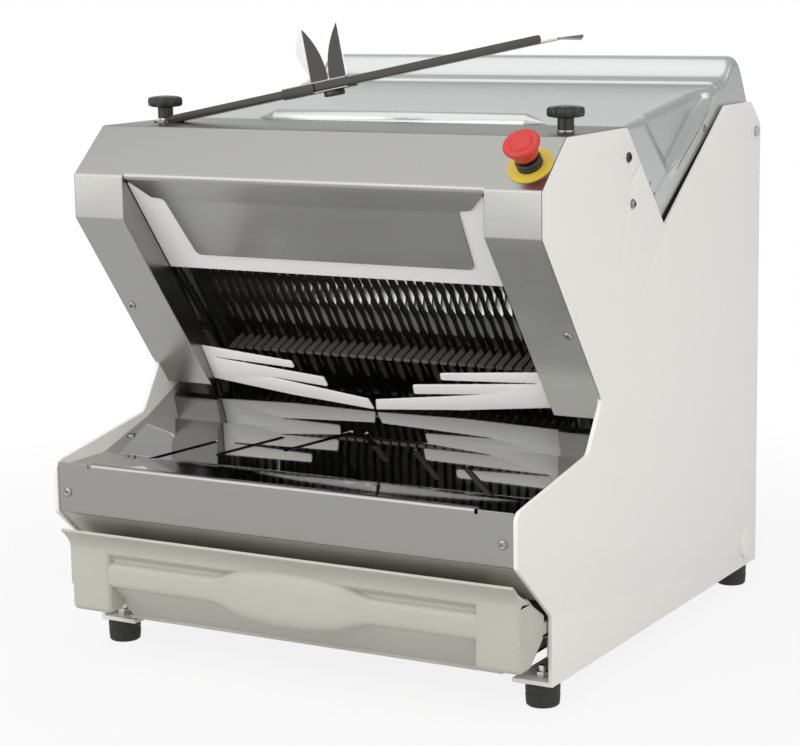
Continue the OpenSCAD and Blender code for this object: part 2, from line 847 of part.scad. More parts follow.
module motor() {
    bell_r = motor_r - 6;
    bell_len = 18;
    foot_w = 90;
    foot_in = 30;
    box = [60, 50, 34];
    box_in = 8;
    color(grey) stand() {
        x_bar(motor_at, motor_r, motor_x + bell_len, motor_x + motor_len - bell_len);
        x_bar(motor_at, bell_r, motor_x, motor_x + motor_len);
        translate([motor_x + foot_in, motor_y - foot_w / 2, panel_t + motor_base_t])
            cube([motor_len - 2 * foot_in, foot_w, motor_foot_h + motor_r / 2]);
        translate([motor_x + foot_in, motor_y - box.y / 2, motor_z + motor_r - box_in]) cube(box);
    }
}

module motor_plate() {
    plate_d = 90;
    color(steel) stand() translate([-inner_x, motor_y - plate_d / 2, panel_t])
        cube([2 * inner_x, plate_d, motor_base_t]);
}

module grooved_pulley(at, r, bore_r) {
    translate([pulley_x, at.x, at.y]) rotate([0, 90, 0]) difference() {
        union() {
            cylinder(h = pulley_w, r = r);
            for (z = [0, pulley_w - pulley_rim + 0.5]) translate([0, 0, z])
                cylinder(h = pulley_rim - 0.5, r = r + belt_t);
        }
        translate([0, 0, -cut]) cylinder(h = pulley_w + 2 * cut, r = bore_r);
    }
}

module motor_pulley() {
    color(grey) stand() {
        grooved_pulley(motor_at, motor_pulley_r, motor_shaft_r);
        x_bar(motor_at, motor_shaft_r, motor_x + motor_len + slide_gap, pulley_x + pulley_w);
    }
}

module crank_pulley() {
    color(grey) stand() grooved_pulley(crank_at, crank_pulley_r, shaft_d / 2);
}

// Loop of a belt round the two pulleys, at a distance gap off their grooves
module belt_loop(gap) {
    hull() {
        translate(crank_at) circle(crank_pulley_r + gap, $fn = 64);
        translate(motor_at) circle(motor_pulley_r + gap, $fn = 48);
    }
}

module drive_belt() {
    side = (pulley_w - belt_w) / 2;
    color(black) stand() across(pulley_x + side, pulley_x + side + belt_w) difference() {
        belt_loop(slide_gap + belt_t);
        belt_loop(slide_gap);
    }
}

module crank_bearings() {
    color(grey) stand() both_sides() difference() {
        translate([inner_x - bearing_w, crank_at.x - bearing_h / 2, crank_at.y - bearing_h / 2])
            cube([bearing_w, bearing_h, bearing_h]);
        x_bar(crank_at, shaft_d / 2 + run_gap, inner_x - bearing_w - cut, inner_x + cut);
    }
}

module crankshaft() {
    color(bright) stand() {
        x_bar(crank_at, shaft_d / 2, -web_rear_x, web_rear_x);
        both_sides() {
            for (x = [web_rear_x, web_mid_x, web_front_x]) x_bar(crank_at, web_r, x, x + web_t);
            x_bar(pin_rear, pin_r, pin_rear_x, web_mid_x);
            x_bar(pin_front, pin_r, pin_front_x, web_front_x);
            x_bar(crank_at, shaft_d / 2, web_front_x + web_t, shaft_end_x);
        }
    }
}

// Connecting rod from its crank pin to the wrist, as wide as conrod_t from x0
module conrod(pin, wrist, x0) {
    run = wrist - pin;
    across(x0, x0 + conrod_t) difference() {
        union() {
            translate(pin) circle(conrod_big_r);
            translate(wrist) circle(conrod_eye_r);
            translate(pin) rotate(atan2(run.y, run.x)) translate([0, -conrod_w / 2])
                square([norm(run), conrod_w]);
        }
        translate(pin) circle(pin_r + run_gap);
        translate(wrist) circle(wrist_r);
    }
}

module conrods_front() {
    color(steel) stand() both_sides() conrod(pin_front, wrist_front, conrod_front_x);
}

module conrods_rear() {
    color(steel) stand() both_sides() conrod(pin_rear, wrist_rear, conrod_rear_x);
}

// Blade frame: two bars, two stiles, bushes on the guide rods and lugs for the connecting rods
module blade_frame(side, stile_x, rod_x, lug_x) {
    inner = frame_half - frame_bar;
    boss_len = 3;
    boss_r = wrist_r + 2;
    color(dark) stand() blade_plane(side) {
        for (z = [-frame_half, inner]) translate([-stile_x, -frame_bar / 2, z])
            cube([2 * stile_x, frame_bar, frame_bar]);
        both_sides() {
            translate([stile_x - stile_w, -stile_t / 2, -inner]) cube([stile_w, stile_t, 2 * inner]);
            for (end = [-1, 1]) translate([0, 0, end * bush_rise]) difference() {
                union() {
                    translate([stile_x - cut, -stile_t / 2, -bush_len / 2])
                        cube([rod_x - bush_half - stile_x + 2 * cut, stile_t, bush_len]);
                    translate([rod_x - bush_half, -bush_half, -bush_len / 2])
                        cube([2 * bush_half, 2 * bush_half, bush_len]);
                }
                translate([rod_x, 0, -bush_len]) cylinder(h = 2 * bush_len, r = rod_d / 2 + run_gap);
            }
            translate([lug_x, -lug_w / 2, -frame_half - lug_len - lug_w / 2])
                cube([lug_t, lug_w, lug_len + lug_w / 2 + cut]);
            translate([lug_x + lug_t - cut, 0, -frame_half - lug_len]) rotate([0, 90, 0])
                cylinder(h = boss_len + cut, r = boss_r);
        }
    }
}

module blade_frame_front() {
    blade_frame(1, stile_front_x, rod_front_x, conrod_front_x + conrod_t + slide_gap);
}

module blade_frame_rear() {
    blade_frame(-1, stile_rear_x, rod_rear_x, conrod_rear_x + conrod_t + slide_gap);
}

// Every second blade, counted from the middle, starting at first
module blade_row(side, first) {
    inner = frame_half - frame_bar;
    color(dark) stand() blade_plane(side) for (i = [-blade_steps : blade_steps])
        if ((i + blade_steps) % 2 == first)
            translate([i * blade_pitch - blade_t / 2, -blade_w / 2, -inner])
                cube([blade_t, blade_w, 2 * inner]);
}

module blades_front() {
    blade_row(1, 0);
}

module blades_rear() {
    blade_row(-1, 1);
}

module guide_rods() {
    color(bright) stand() both_sides() {
        blade_plane(1) translate([rod_front_x, 0, -rod_half]) cylinder(h = 2 * rod_half, d = rod_d);
        blade_plane(-1) translate([rod_rear_x, 0, -rod_half]) cylinder(h = 2 * rod_half, d = rod_d);
    }
}

module rod_bracket(side, rod_x) {
    blade_plane(side) for (z = [-rod_half - bracket_t, rod_half])
        translate([rod_x - bush_half, -bush_half, z])
            cube([inner_x - rod_x + bush_half, 2 * bush_half, bracket_t]);
}

module rod_brackets() {
    color(grey) stand() both_sides() {
        rod_bracket(1, rod_front_x);
        rod_bracket(-1, rod_rear_x);
    }
}

// Outline of the lid's side wall, between the notch and the ridge
module lid_side_outline() {
    difference() {
        union() {
            polygon([[lid_front_y, hood_top_z - 1], lid_low, lid_rear_low,
                     [hinge_y - lid_ear_r, hinge_z - lid_ear_r], [hinge_y, hinge_z - lid_ear_r],
                     [hinge_y + lid_ear_r, hinge_z], lid_tail,
                     [ridge_y + 4, ridge_z - 8], [ridge_y, ridge_z - 4], [lid_step_y, lid_step_z - 1]]);
            translate([hinge_y, hinge_z]) circle(lid_ear_r);
        }
        translate([hinge_y, hinge_z]) circle(hinge_d / 2 + run_gap);
    }
}

module lid_shell() {
    front_fold = 14;
    band_up = lid_band_w / cos(lid_edge_angle);
    path = bent([[lid_front_y + 2, hood_top_z - front_fold], [lid_front_y, hood_top_z],
                 [lid_step_y, lid_step_z], [ridge_y, ridge_z], lid_tail], bend_r);
    lip_end = 24;
    lip_half = lid_lip_w / 2;
    lip_at = [lid_front_y + lid_lip_r + 2, hood_top_z];
    color(silver) stand() {
        sheet(path, -lid_t, -lid_x, lid_x);
        both_sides() {
            across(lid_x - lid_side_t, lid_x) lid_side_outline();
            across(lid_x, lid_x + lid_band_t) intersection() {
                lid_side_outline();
                polygon([lid_low, lid_rear_low, lid_rear_low + [0, band_up], lid_low + [0, band_up]]);
            }
        }
        intersection() {
            difference() {
                union() {
                    x_bar(lip_at, lid_lip_r, -lip_half + lip_end, lip_half - lip_end);
                    both_sides() translate([lip_half - lip_end, lip_at.x, lip_at.y]) rotate([0, 90, 0])
                        cylinder(h = lip_end, r1 = lid_lip_r, r2 = 0.5);
                }
                x_bar(lip_at - [3, 1], lid_lip_r - 2, -lip_half + lip_end, lip_half - lip_end);
            }
            translate([-lip_half, lid_front_y, hood_top_z + 0.5])
                cube([2 * lip_half, 3 * lid_lip_r, 2 * lid_lip_r]);
        }
    }
}

module lid_seal() {
    seal_h = 9;
    color(black) stand() both_sides() across(lid_x - lid_side_t, lid_x)
        polygon([lid_low, lid_rear_low, lid_rear_low - [0, seal_h], lid_low - [0, seal_h]]);
}

module lid_screws() {
    head_t = 1.2;
    head_r = 4.5;
    small_r = 2.2;
    back = 49;
    up = 16;
    at = lid_rear_low + [-back, up - back * tan(lid_edge_angle)];
    small = [[notch_y - 24, notch_z + 51], [notch_y - 12, notch_z + 38]];
    color(bright) stand() both_sides() {
        x_bar(at, head_r, lid_x + lid_band_t, lid_x + lid_band_t + head_t);
        for (p = small) x_bar(p, small_r, lid_x, lid_x + head_t);
    }
}

// Pusher: comb plate under the lid that drives the loaf through the blades
module bread_pusher() {
    top_y = notch_y + 20;
    top = [top_y, hood_top_z + (top_y - lid_front_y) * tan(lid_angle) - lid_t / cos(lid_angle)];
    low_y = notch_y - 35;
    tray_gap = 14;
    low = [low_y, tray_z + (low_y - tray_y) * tan(feed_angle) + tray_gap];
    half = stile_front_x - 20;
    slot_h = 110;
    slot_gap = 4;
    flange_len = 24;
    slot_cut = 40;
    run = low - top;
    color(bright) stand() difference() {
        sheet([[top_y + flange_len, top.y + flange_len * tan(lid_angle)], top, low], sheet_t, -half, half);
        for (i = [-blade_steps : blade_steps])
            translate([i * blade_pitch, low.x, low.y]) rotate([atan2(run.x, -run.y), 0, 0])
                translate([-slot_gap / 2, -slot_cut / 2, -slot_cut / 2])
                    cube([slot_gap, slot_cut, slot_h + slot_cut / 2]);
    }
}

module drawer_half_front() {
    rim_front_y = block_back_y - 10;
    block = bent([[drawer_lip_y, drawer_lip_z], [drawer_face_y, drawer_face_z], [drawer_face_y, block_low_z],
                  [block_back_y, block_low_z], [block_back_y, rim_z + drawer_t]], drawer_bend_r);
    front_low = [[drawer_face_y + 1, drawer_face_z - 2], [drawer_face_y + 1, block_low_z + 3],
                 [drawer_face_y + 4, block_low_z], [block_back_y, block_low_z]];
    sheet(block, drawer_t, block_x, drawer_x);
    across(block_x, block_x + drawer_t) polygon(concat(
        front_low, [[block_back_y, rim_z + drawer_t], [rim_front_y, rim_z + rim_h]]));
    across(drawer_x - drawer_t, drawer_x) polygon(concat(
        [[drawer_lip_y + 4, drawer_lip_z - 3]], front_low,
        [[block_back_y, rim_z], [drawer_back_y, rim_z], [drawer_back_y, rim_z + rim_h],
         [rim_front_y, rim_z + rim_h]]));
}

module drawer_side_walls() {
    floor_y = block_back_y - 6;
    translate([tub_x - drawer_t, floor_y, rim_z])
        cube([drawer_x - tub_x + drawer_t, drawer_back_y - floor_y, drawer_t]);
    translate([drawer_x - drawer_t, floor_y, rim_z]) cube([drawer_t, drawer_back_y - floor_y, rim_h]);
    translate([tub_x - drawer_t, floor_y, tub_z])
        cube([drawer_t, drawer_back_y - floor_y, rim_z - tub_z + cut]);
}

module crumb_drawer() {
    floor_y = block_back_y - 6;
    recess = bent([[drawer_lip_y, drawer_lip_z], [drawer_face_y, drawer_face_z],
                   [recess_y, drawer_face_z - 5], [recess_y, grip_z1 + 4],
                   [drawer_face_y, grip_z1], [drawer_face_y, grip_z0],
                   [recess_y, grip_z0 - 4], [floor_y, tub_z], [floor_y + 12, tub_z]], drawer_bend_r);
    hollow_y = recess_y - 1;
    grip_edge = 6;
    color(stone) stand() {
        difference() {
            union() {
                sheet(recess, drawer_t, -block_x - cut, block_x + cut);
                translate([0, 0, grip_z0]) linear_extrude(grip_z1 - grip_z0) polygon([
                    [-grip_w / 2 - grip_taper, drawer_face_y + 2], [-grip_w / 2, grip_y],
                    [grip_w / 2, grip_y], [grip_w / 2 + grip_taper, drawer_face_y + 2]]);
            }
            translate([-grip_w / 2, grip_y + drawer_t, grip_z0 - 8])
                cube([grip_w, hollow_y - grip_y - drawer_t, grip_z1 - grip_z0 + 8 - drawer_t]);
        }
        translate([-grip_w / 2 - grip_edge, hollow_y, grip_z0 - grip_edge])
            cube([grip_w + 2 * grip_edge, drawer_t, grip_z1 - grip_z0 + 1.4 * grip_edge]);
        both_sides() {
            drawer_half_front();
            drawer_side_walls();
        }
        translate([-tub_x, floor_y, tub_z]) cube([2 * tub_x, drawer_back_y - floor_y, drawer_t]);
        translate([-tub_x, drawer_back_y - drawer_t, tub_z]) cube([2 * tub_x, drawer_t, rim_z - tub_z + cut]);
        translate([-drawer_x, drawer_back_y - drawer_t, rim_z]) cube([2 * drawer_x, drawer_t, rim_h]);
    }
}

module star_knob(side, lift) {
    scallop_r = 5;
    scallop_in = 2.5;
    color(black) stand() translate([side * knob_x, knob_y, hood_top_z + lift]) difference() {
        union() {
            cylinder(h = knob_stem_h, r = knob_stem_r);
            translate([0, 0, knob_stem_h]) difference() {
                cylinder(h = knob_head_h, d = knob_d);
                for (i = [0 : knob_lobes - 1]) rotate([0, 0, i * 360 / knob_lobes])
                    translate([knob_d / 2 + scallop_r - scallop_in, 0, -cut])
                        cylinder(h = knob_head_h + 2 * cut, r = scallop_r);
            }
        }
        translate([0, 0, -cut]) cylinder(h = knob_thread + cut, r = knob_stud_r);
    }
}

// Stud of a star knob with its washer, on the arm's foot or on the hood
module knob_stud(side, seat, lift, washer_r) {
    low = 16;
    color(bright) stand() translate([side * knob_x, knob_y, hood_top_z]) {
        translate([0, 0, -low]) cylinder(h = low + lift + knob_thread, r = knob_stud_r);
        translate([0, 0, seat + slide_gap]) cylinder(h = lift - seat - slide_gap, r = washer_r);
    }
}

module knob_left() {
    star_knob(-1, arm_t + knob_foot_h);
}

module knob_right() {
    star_knob(1, knob_washer_h);
}

module knob_left_stud() {
    knob_stud(-1, arm_t + slide_gap, arm_t + knob_foot_h, arm_w / 2 - arm_t - slide_gap);
}

module knob_right_stud() {
    knob_stud(1, 0, knob_washer_h, knob_washer_r);
}

// Local frame of the bag arm: x runs up along the arm's upper face from the bend beside the knob
module arm_frame() {
    translate([arm_bend.x, knob_y, arm_bend.y]) rotate([0, -arm_angle, 0])
        translate([0, 0, arm_t]) children();
}

// Extrudes an outline drawn in x and z to a width w about the arm's middle
module arm_strip(w, y = 0) {
    translate([0, knob_y + y + w / 2, 0]) rotate([90, 0, 0]) linear_extrude(w) children();
}

module bag_arm() {
    foot_r = 14;
    tip_len = 24;
    tip_angle = 9;
    flange_end = 20;
    gusset_x = -knob_x + knob_stem_r / 2;
    gusset_h = 3;
    along = [cos(arm_angle), sin(arm_angle)];
    tip_at = arm_bend + along * (arm_len - tip_len);
    tip = tip_at + tip_len * [cos(arm_angle - tip_angle), sin(arm_angle - tip_angle)];
    strip = [[-knob_x, arm_bend.y], arm_bend, tip_at];
    end = [tip, tip_at, tip_at - along * tip_len / 2];
    flange_at = tip_at - along * flange_end;
    up = turned(along);
    color(steel) stand() {
        difference() {
            union() {
                translate([-knob_x, knob_y, arm_bend.y]) cylinder(h = arm_t, r = foot_r);
                arm_strip(arm_w) polygon(concat(strip, reversed(beside(strip, arm_t))));
            }
            translate([-knob_x, knob_y, arm_bend.y - cut])
                cylinder(h = arm_t + 2 * cut, r = knob_stud_r + slide_gap);
        }
        arm_strip(arm_w / 2) polygon(concat(end, reversed(beside(end, -arm_t))));
        arm_strip(arm_t, (arm_t - arm_w) / 2) polygon([
            [gusset_x, arm_bend.y + arm_t / 2], arm_bend + up * arm_t / 2,
            flange_at + up * arm_t / 2, flange_at + up * arm_flange, arm_bend + up * arm_flange,
            [gusset_x, arm_bend.y + gusset_h]]);
    }
}

// Leaf with a straight edge up y and a bowed edge on its other side
module leaf(w, h, steps = 12) {
    polygon(concat([[0, 0]], [for (i = [0 : steps]) let (t = i / steps) [w * (1 - pow(t, 2.2)), h * t]]));
}

// Leaf that is widest near its top and closes to nothing at both ends of its straight edge
module petal(w, h, steps = 14) {
    bow = 1.5;
    polygon(concat([[0, 0]], [for (i = [1 : steps - 1]) [w * sin(180 * pow(i / steps, bow)), h * i / steps]],
        [[0, h]]));
}

// Sheet clip that holds the arm's strip from below and hooks over its flange, with two folded wings
module bag_clip() {
    side_y = arm_w / 2 + slide_gap;
    wide = 2 * (side_y + clip_t);
    hook_z = arm_flange - arm_t + slide_gap;
    hook_w = arm_t + 2 * (slide_gap + clip_t);
    hold_w = 6;
    plate_len = 42;
    wing_y = (arm_t - arm_w) / 2;
    wing_at = [38.5, clip_len - 1];
    petal_turn = [150, 38];
    color(bright) stand() arm_frame() translate([clip_at, 0, 0]) {
        difference() {
            translate([0, -wide / 2, clip_floor_z]) cube([clip_len, wide, clip_t]);
            translate([clamp_along, 0, clip_floor_z - cut])
                cylinder(h = clip_t + 2 * cut, r = clamp_r + run_gap);
        }
        translate([0, -wide / 2, clip_floor_z]) cube([plate_len, clip_t, hook_z + clip_t - clip_floor_z]);
        translate([0, -wide / 2, hook_z]) cube([clip_len, hook_w, clip_t]);
        translate([0, side_y, clip_floor_z]) cube([clip_len, clip_t, slide_gap + clip_t - clip_floor_z]);
        translate([0, side_y - hold_w, slide_gap]) cube([clip_len, hold_w + clip_t, clip_t]);
        for (k = [0, 1]) translate([wing_at[k], wing_y, hook_z + clip_t / 2]) on_side(1 - 2 * k) {
            rotate([90, 0, 0]) linear_extrude(clip_t, center = true) leaf(wing_w, wing_h);
            rotate([90, 0, petal_turn[k]]) linear_extrude(clip_t, center = true) petal(wing_w, wing_h);
        }
    }
}

module clamp_screw() {
    head_r = 12;
    head_h = 6;
    color(black) stand() arm_frame() translate([clip_at + clamp_along, 0, clip_floor_z - slide_gap]) {
        translate([0, 0, -head_h]) cylinder(h = head_h, r = head_r);
        translate([0, 0, -cut]) cylinder(h = clip_t + slide_gap + cut, r = clamp_r);
    }
}

side_panel(-1);  // side_panel_left
side_panel(1);  // side_panel_right
front_hood();
deflector_plate();
blade_shield();
retainer(-1);  // retainer_left
retainer(1);  // retainer_right
bread_table();
front_fascia();
feed_tray();
guide_comb();
rear_panel();
tie_bars();
drawer_runners();
feet();
foot_bolts();
panel_bolts();
hood_screws();
side_caps();
estop_ring();
estop_collar();
estop_contact();
motor();
motor_plate();
crank_bearings();
guide_rods();
rod_brackets();
hinge_pins();
drive_belt();
cable_gland();
lid_shell();
lid_seal();
lid_screws();
bread_pusher();
crumb_drawer();
blade_frame_front();
blades_front();
blade_frame_rear();
blades_rear();
crankshaft();
crank_pulley();
conrods_front();
conrods_rear();
motor_pulley();
estop_plunger();
estop_head();
knob_left();
knob_left_stud();
knob_right();
knob_right_stud();
bag_arm();
bag_clip();
clamp_screw();
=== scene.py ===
import bmesh
import bpy
import numpy as np
from mathutils import Matrix, Vector


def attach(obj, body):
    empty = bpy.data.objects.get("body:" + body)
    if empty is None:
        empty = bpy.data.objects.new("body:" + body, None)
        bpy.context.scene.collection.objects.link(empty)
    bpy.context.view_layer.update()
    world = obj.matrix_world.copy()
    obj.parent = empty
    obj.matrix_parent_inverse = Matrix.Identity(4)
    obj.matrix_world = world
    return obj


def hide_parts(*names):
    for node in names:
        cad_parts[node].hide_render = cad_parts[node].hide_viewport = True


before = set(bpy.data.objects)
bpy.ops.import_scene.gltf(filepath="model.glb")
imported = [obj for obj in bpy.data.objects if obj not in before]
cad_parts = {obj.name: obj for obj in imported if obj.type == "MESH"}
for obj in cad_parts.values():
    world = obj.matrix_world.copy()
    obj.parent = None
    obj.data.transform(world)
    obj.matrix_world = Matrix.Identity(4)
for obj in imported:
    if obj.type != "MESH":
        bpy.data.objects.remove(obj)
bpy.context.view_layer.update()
scene = bpy.context.scene
scene.view_settings.view_transform = "Standard"

# Camera: stands to the right of the machine and a little above it, level with a person at the counter.
# A long lens keeps the side panel and the front in nearly the same scale.
EYE = np.array([1.30928, -2.36606, 0.78077])
AZIMUTH, ELEVATION, ROLL = np.radians([29.544, 10.049, -0.902])
back = np.array([np.sin(AZIMUTH) * np.cos(ELEVATION), -np.cos(AZIMUTH) * np.cos(ELEVATION),
                 np.sin(ELEVATION)])
level = np.array([np.cos(AZIMUTH), np.sin(AZIMUTH), 0.0])
upright = np.cross(back, level)
right = np.cos(ROLL) * level + np.sin(ROLL) * upright
camera = bpy.data.objects.new("camera", bpy.data.cameras.new("camera"))
camera.data.sensor_width = 36.0
camera.data.lens = 103.23
pose = np.eye(4)
pose[:3, :3] = np.column_stack([right, np.cross(back, right), back])
pose[:3, 3] = EYE
camera.matrix_world = Matrix(pose.tolist())
scene.collection.objects.link(camera)
scene.camera = camera

# Studio: a pale floor, a white backdrop and three large soft boxes, to the front, the right and overhead.
# The camera always sees full white. To metals the backdrop falls off towards the dimmer sides of the room.
ROOM_LIGHT, ROOM_SIDES, WHITE, LAMPS_AIM = 0.42, 0.45, (1, 1, 1, 1), Vector((0, 0, 0.3))


def node(tree, kind, operation=None, **values):
    """Adds a shader node to a tree. Values go to the inputs of those names, with _ for a space."""
    made = tree.nodes.new("ShaderNode" + kind)
    if operation:
        made.operation = operation
    for name, value in values.items():
        made.inputs[name.replace("_", " ")].default_value = value
    return made


def fade(tree, low, high, first, last, curve="LINEAR"):
    """Map range node: first up to low, last from high on, and in between along the curve."""
    made = node(tree, "MapRange", From_Min=low, From_Max=high, To_Min=first, To_Max=last)
    made.interpolation_type = curve
    return made


def wire(tree, *links):
    """Links nodes. Each link names a node, its output, the next node and its input."""
    for start, leaves, end, enters in links:
        tree.links.new(start.outputs[leaves], end.inputs[enters])


world = bpy.data.worlds.new("white_room")
scene.world = world
world.use_nodes = True
tree = world.node_tree
tree.nodes.clear()
path, towards = node(tree, "LightPath"), node(tree, "TexCoord")
seen, seen_through, backing = (node(tree, "Math", "MAXIMUM") for _ in range(3))
dim = node(tree, "Background", Color=WHITE, Strength=ROOM_LIGHT)
white_room = node(tree, "Background", Color=WHITE)
backdrop = node(tree, "VectorMath", "DOT_PRODUCT")
backdrop.inputs[1].default_value = (-np.sin(AZIMUTH), np.cos(AZIMUTH), 0)
fall = fade(tree, 0.7, 0.89, ROOM_SIDES, 1.0, "SMOOTHSTEP")
either, out = node(tree, "MixShader"), node(tree, "OutputWorld")
wire(tree, (towards, "Generated", backdrop, 0), (backdrop, "Value", fall, "Value"),
     (fall, "Result", backing, 0), (path, "Is Camera Ray", backing, 1), (backing, 0, white_room, "Strength"),
     (path, "Is Camera Ray", seen, 0), (path, "Is Glossy Ray", seen, 1), (seen, 0, seen_through, 0),
     (path, "Is Transmission Ray", seen_through, 1), (seen_through, 0, either, "Fac"), (dim, 0, either, 1),
     (white_room, 0, either, 2), (either, 0, out, "Surface"))
for name, spot, wide, high, watts in (("front_box", (-1.3, -2.7, 1.35), 3.6, 2.4, 44),
                                      ("right_box", (3.3, -1.2, 1.9), 6.0, 3.6, 82),
                                      ("top_box", (-0.6, -1.2, 3.2), 5.2, 4.0, 60)):
    lamp = bpy.data.objects.new(name, bpy.data.lights.new(name, "AREA"))
    lamp.data.shape = "RECTANGLE"
    lamp.data.energy, lamp.data.size, lamp.data.size_y = watts, wide, high
    lamp.location = spot
    lamp.rotation_euler = (LAMPS_AIM - Vector(spot)).to_track_quat("-Z", "Y").to_euler()
    scene.collection.objects.link(lamp)
floor_mesh = bpy.data.meshes.new("floor")
floor_mesh.from_pydata([(-12, -12, 0), (12, -12, 0), (12, 12, 0), (-12, 12, 0)], [], [(0, 1, 2, 3)])
floor = bpy.data.objects.new("floor", floor_mesh)
scene.collection.objects.link(floor)
paper = bpy.data.materials.new("floor_paper")
paper.use_nodes = True
tree = paper.node_tree
sheet_shader = tree.nodes["Principled BSDF"]
for name, value in (("Base Color", (0.6, 0.6, 0.6, 1)), ("Roughness", 0.9), ("Specular IOR Level", 0.0)):
    sheet_shader.inputs[name].default_value = value
path, where = node(tree, "LightPath"), node(tree, "TexCoord")
glow, lit = node(tree, "Emission", Strength=1.0), node(tree, "MixShader")
looked_at, backing = (node(tree, "Math", "MAXIMUM") for _ in range(2))
whitened, paled = (node(tree, "Math", "MULTIPLY") for _ in range(2))
away, beside = (node(tree, "VectorMath", kind) for kind in ("LENGTH", "DOT_PRODUCT"))
beside.inputs[1].default_value = level
far, aside = fade(tree, 0.55, 1.3, 0.86, 1.0), fade(tree, 2.7, 5.0, 1.0, 0.68, "SMOOTHSTEP")
wire(tree, (where, "Object", away, 0), (where, "Object", beside, 0), (away, "Value", far, "Value"),
     (beside, "Value", aside, "Value"), (far, "Result", paled, 0), (aside, "Result", backing, 0),
     (path, "Is Camera Ray", backing, 1), (backing, 0, paled, 1), (paled, 0, whitened, 1),
     (path, "Is Camera Ray", looked_at, 0), (path, "Is Glossy Ray", looked_at, 1),
     (looked_at, 0, whitened, 0), (whitened, 0, lit, "Fac"), (sheet_shader, 0, lit, 1), (glow, 0, lit, 2),
     (lit, 0, tree.nodes["Material Output"], "Surface"))
floor.data.materials.append(paper)

# Side panels: two white powder-coated steel plates that carry everything between them.
# Laser cut to one outline, with a lid notch, a slit above the blade bolt and a turned-in lower flange.
DEPTH, FOOT = 680.0, 26.0


def drawing(x, y, z):
    """Packed frame in metres, from millimetres: y back from the nose, z up from the panels' lower edge."""
    x, y, z = np.broadcast_arrays(x, y, z)
    return np.stack([x, y - DEPTH / 2, z + FOOT], axis=-1) / 1000


def rounded(corners, steps=6):
    """Closed outline through corners (a, b, r): each corner is cut back by r / tan(half its angle) on both
    its edges and bridged by an arc of radius r about the point r / sin(half) along its bisector."""
    corner = np.array(corners, float)
    p, r = corner[:, :2], corner[:, 2:]
    u, v = np.roll(p, 1, 0) - p, np.roll(p, -1, 0) - p
    u, v = u / np.linalg.norm(u, axis=1)[:, None], v / np.linalg.norm(v, axis=1)[:, None]
    half = np.arccos(np.clip((u * v).sum(1), -1, 1))[:, None] / 2
    middle = p + (u + v) / np.linalg.norm(u + v, axis=1)[:, None] * r / np.sin(half)
    first, last = p + u * r / np.tan(half) - middle, p + v * r / np.tan(half) - middle
    a0, a1 = np.arctan2(first[:, 1], first[:, 0]), np.arctan2(last[:, 1], last[:, 0])
    sweep = (a1 - a0 + np.pi) % (2 * np.pi) - np.pi
    angle = a0[:, None] + sweep[:, None] * np.linspace(0, 1, steps)
    return (middle[:, None] + r[:, None] * np.stack([np.cos(angle), np.sin(angle)], -1)).reshape(-1, 2)


def oblong(a0, a1, b0, b1, r, steps=6):
    """Rectangle from (a0, b0) to (a1, b1) with its corners rounded by r."""
    return rounded([(a0, b0, r), (a1, b0, r), (a1, b1, r), (a0, b1, r)], steps)


def inset(outline, d):
    """Outline moved inwards by d: points go along the mean of their edges' normals, scaled by the mitre."""
    before, after = outline - np.roll(outline, 1, 0), np.roll(outline, -1, 0) - outline
    area = (outline[:, 0] * np.roll(outline[:, 1], -1) - outline[:, 1] * np.roll(outline[:, 0], -1)).sum()
    turn = np.array([[0, 1], [-1, 0]]) * np.sign(area)
    n1 = before @ turn / np.maximum(np.linalg.norm(before, axis=1), 1e-9)[:, None]
    n2 = after @ turn / np.maximum(np.linalg.norm(after, axis=1), 1e-9)[:, None]
    mitre = (n1 + n2) / np.maximum(1 + (n1 * n2).sum(1), 0.3)[:, None]
    return outline + d * mitre


def skin(points, ring=False, caps=False):
    """Quads over a grid of points[i, j]; ring joins the last j to the first, caps closes the end rows."""
    rows, cols = points.shape[:2]
    number = np.arange(rows * cols).reshape(rows, cols)
    j = np.arange(cols if ring else cols - 1)
    k = (j + 1) % cols
    quads = np.stack([number[:-1][:, j], number[:-1][:, k], number[1:][:, k], number[1:][:, j]], -1)
    return points.reshape(-1, 3), quads.reshape(-1, 4), [number[0][::-1], number[-1]] if caps else []


def slab(outline, low, high, edge, put):
    """Plate between two levels of t with round edges: at angle q the outline is inset by edge (1 - sin q)
    and the level lies edge (1 - cos q) inside the face. put(a, b, t) gives the place of a point."""
    q = np.linspace(0, np.pi / 2, 4)
    pull = edge * (1 - np.sin(q))
    level = edge * (1 - np.cos(q))
    rows = [inset(outline, d) for d in np.concatenate([pull, pull[::-1]])]
    t = np.concatenate([low + level, high - level[::-1]])
    return skin(np.stack([put(r[:, 0], r[:, 1], h) for r, h in zip(rows, t)]), ring=True, caps=True)


def sideways(side=1):
    """Placing function for a (y, z) outline carried along x, to the right or, with -1, to the left."""
    return lambda a, b, t: drawing(side * t, a, b)


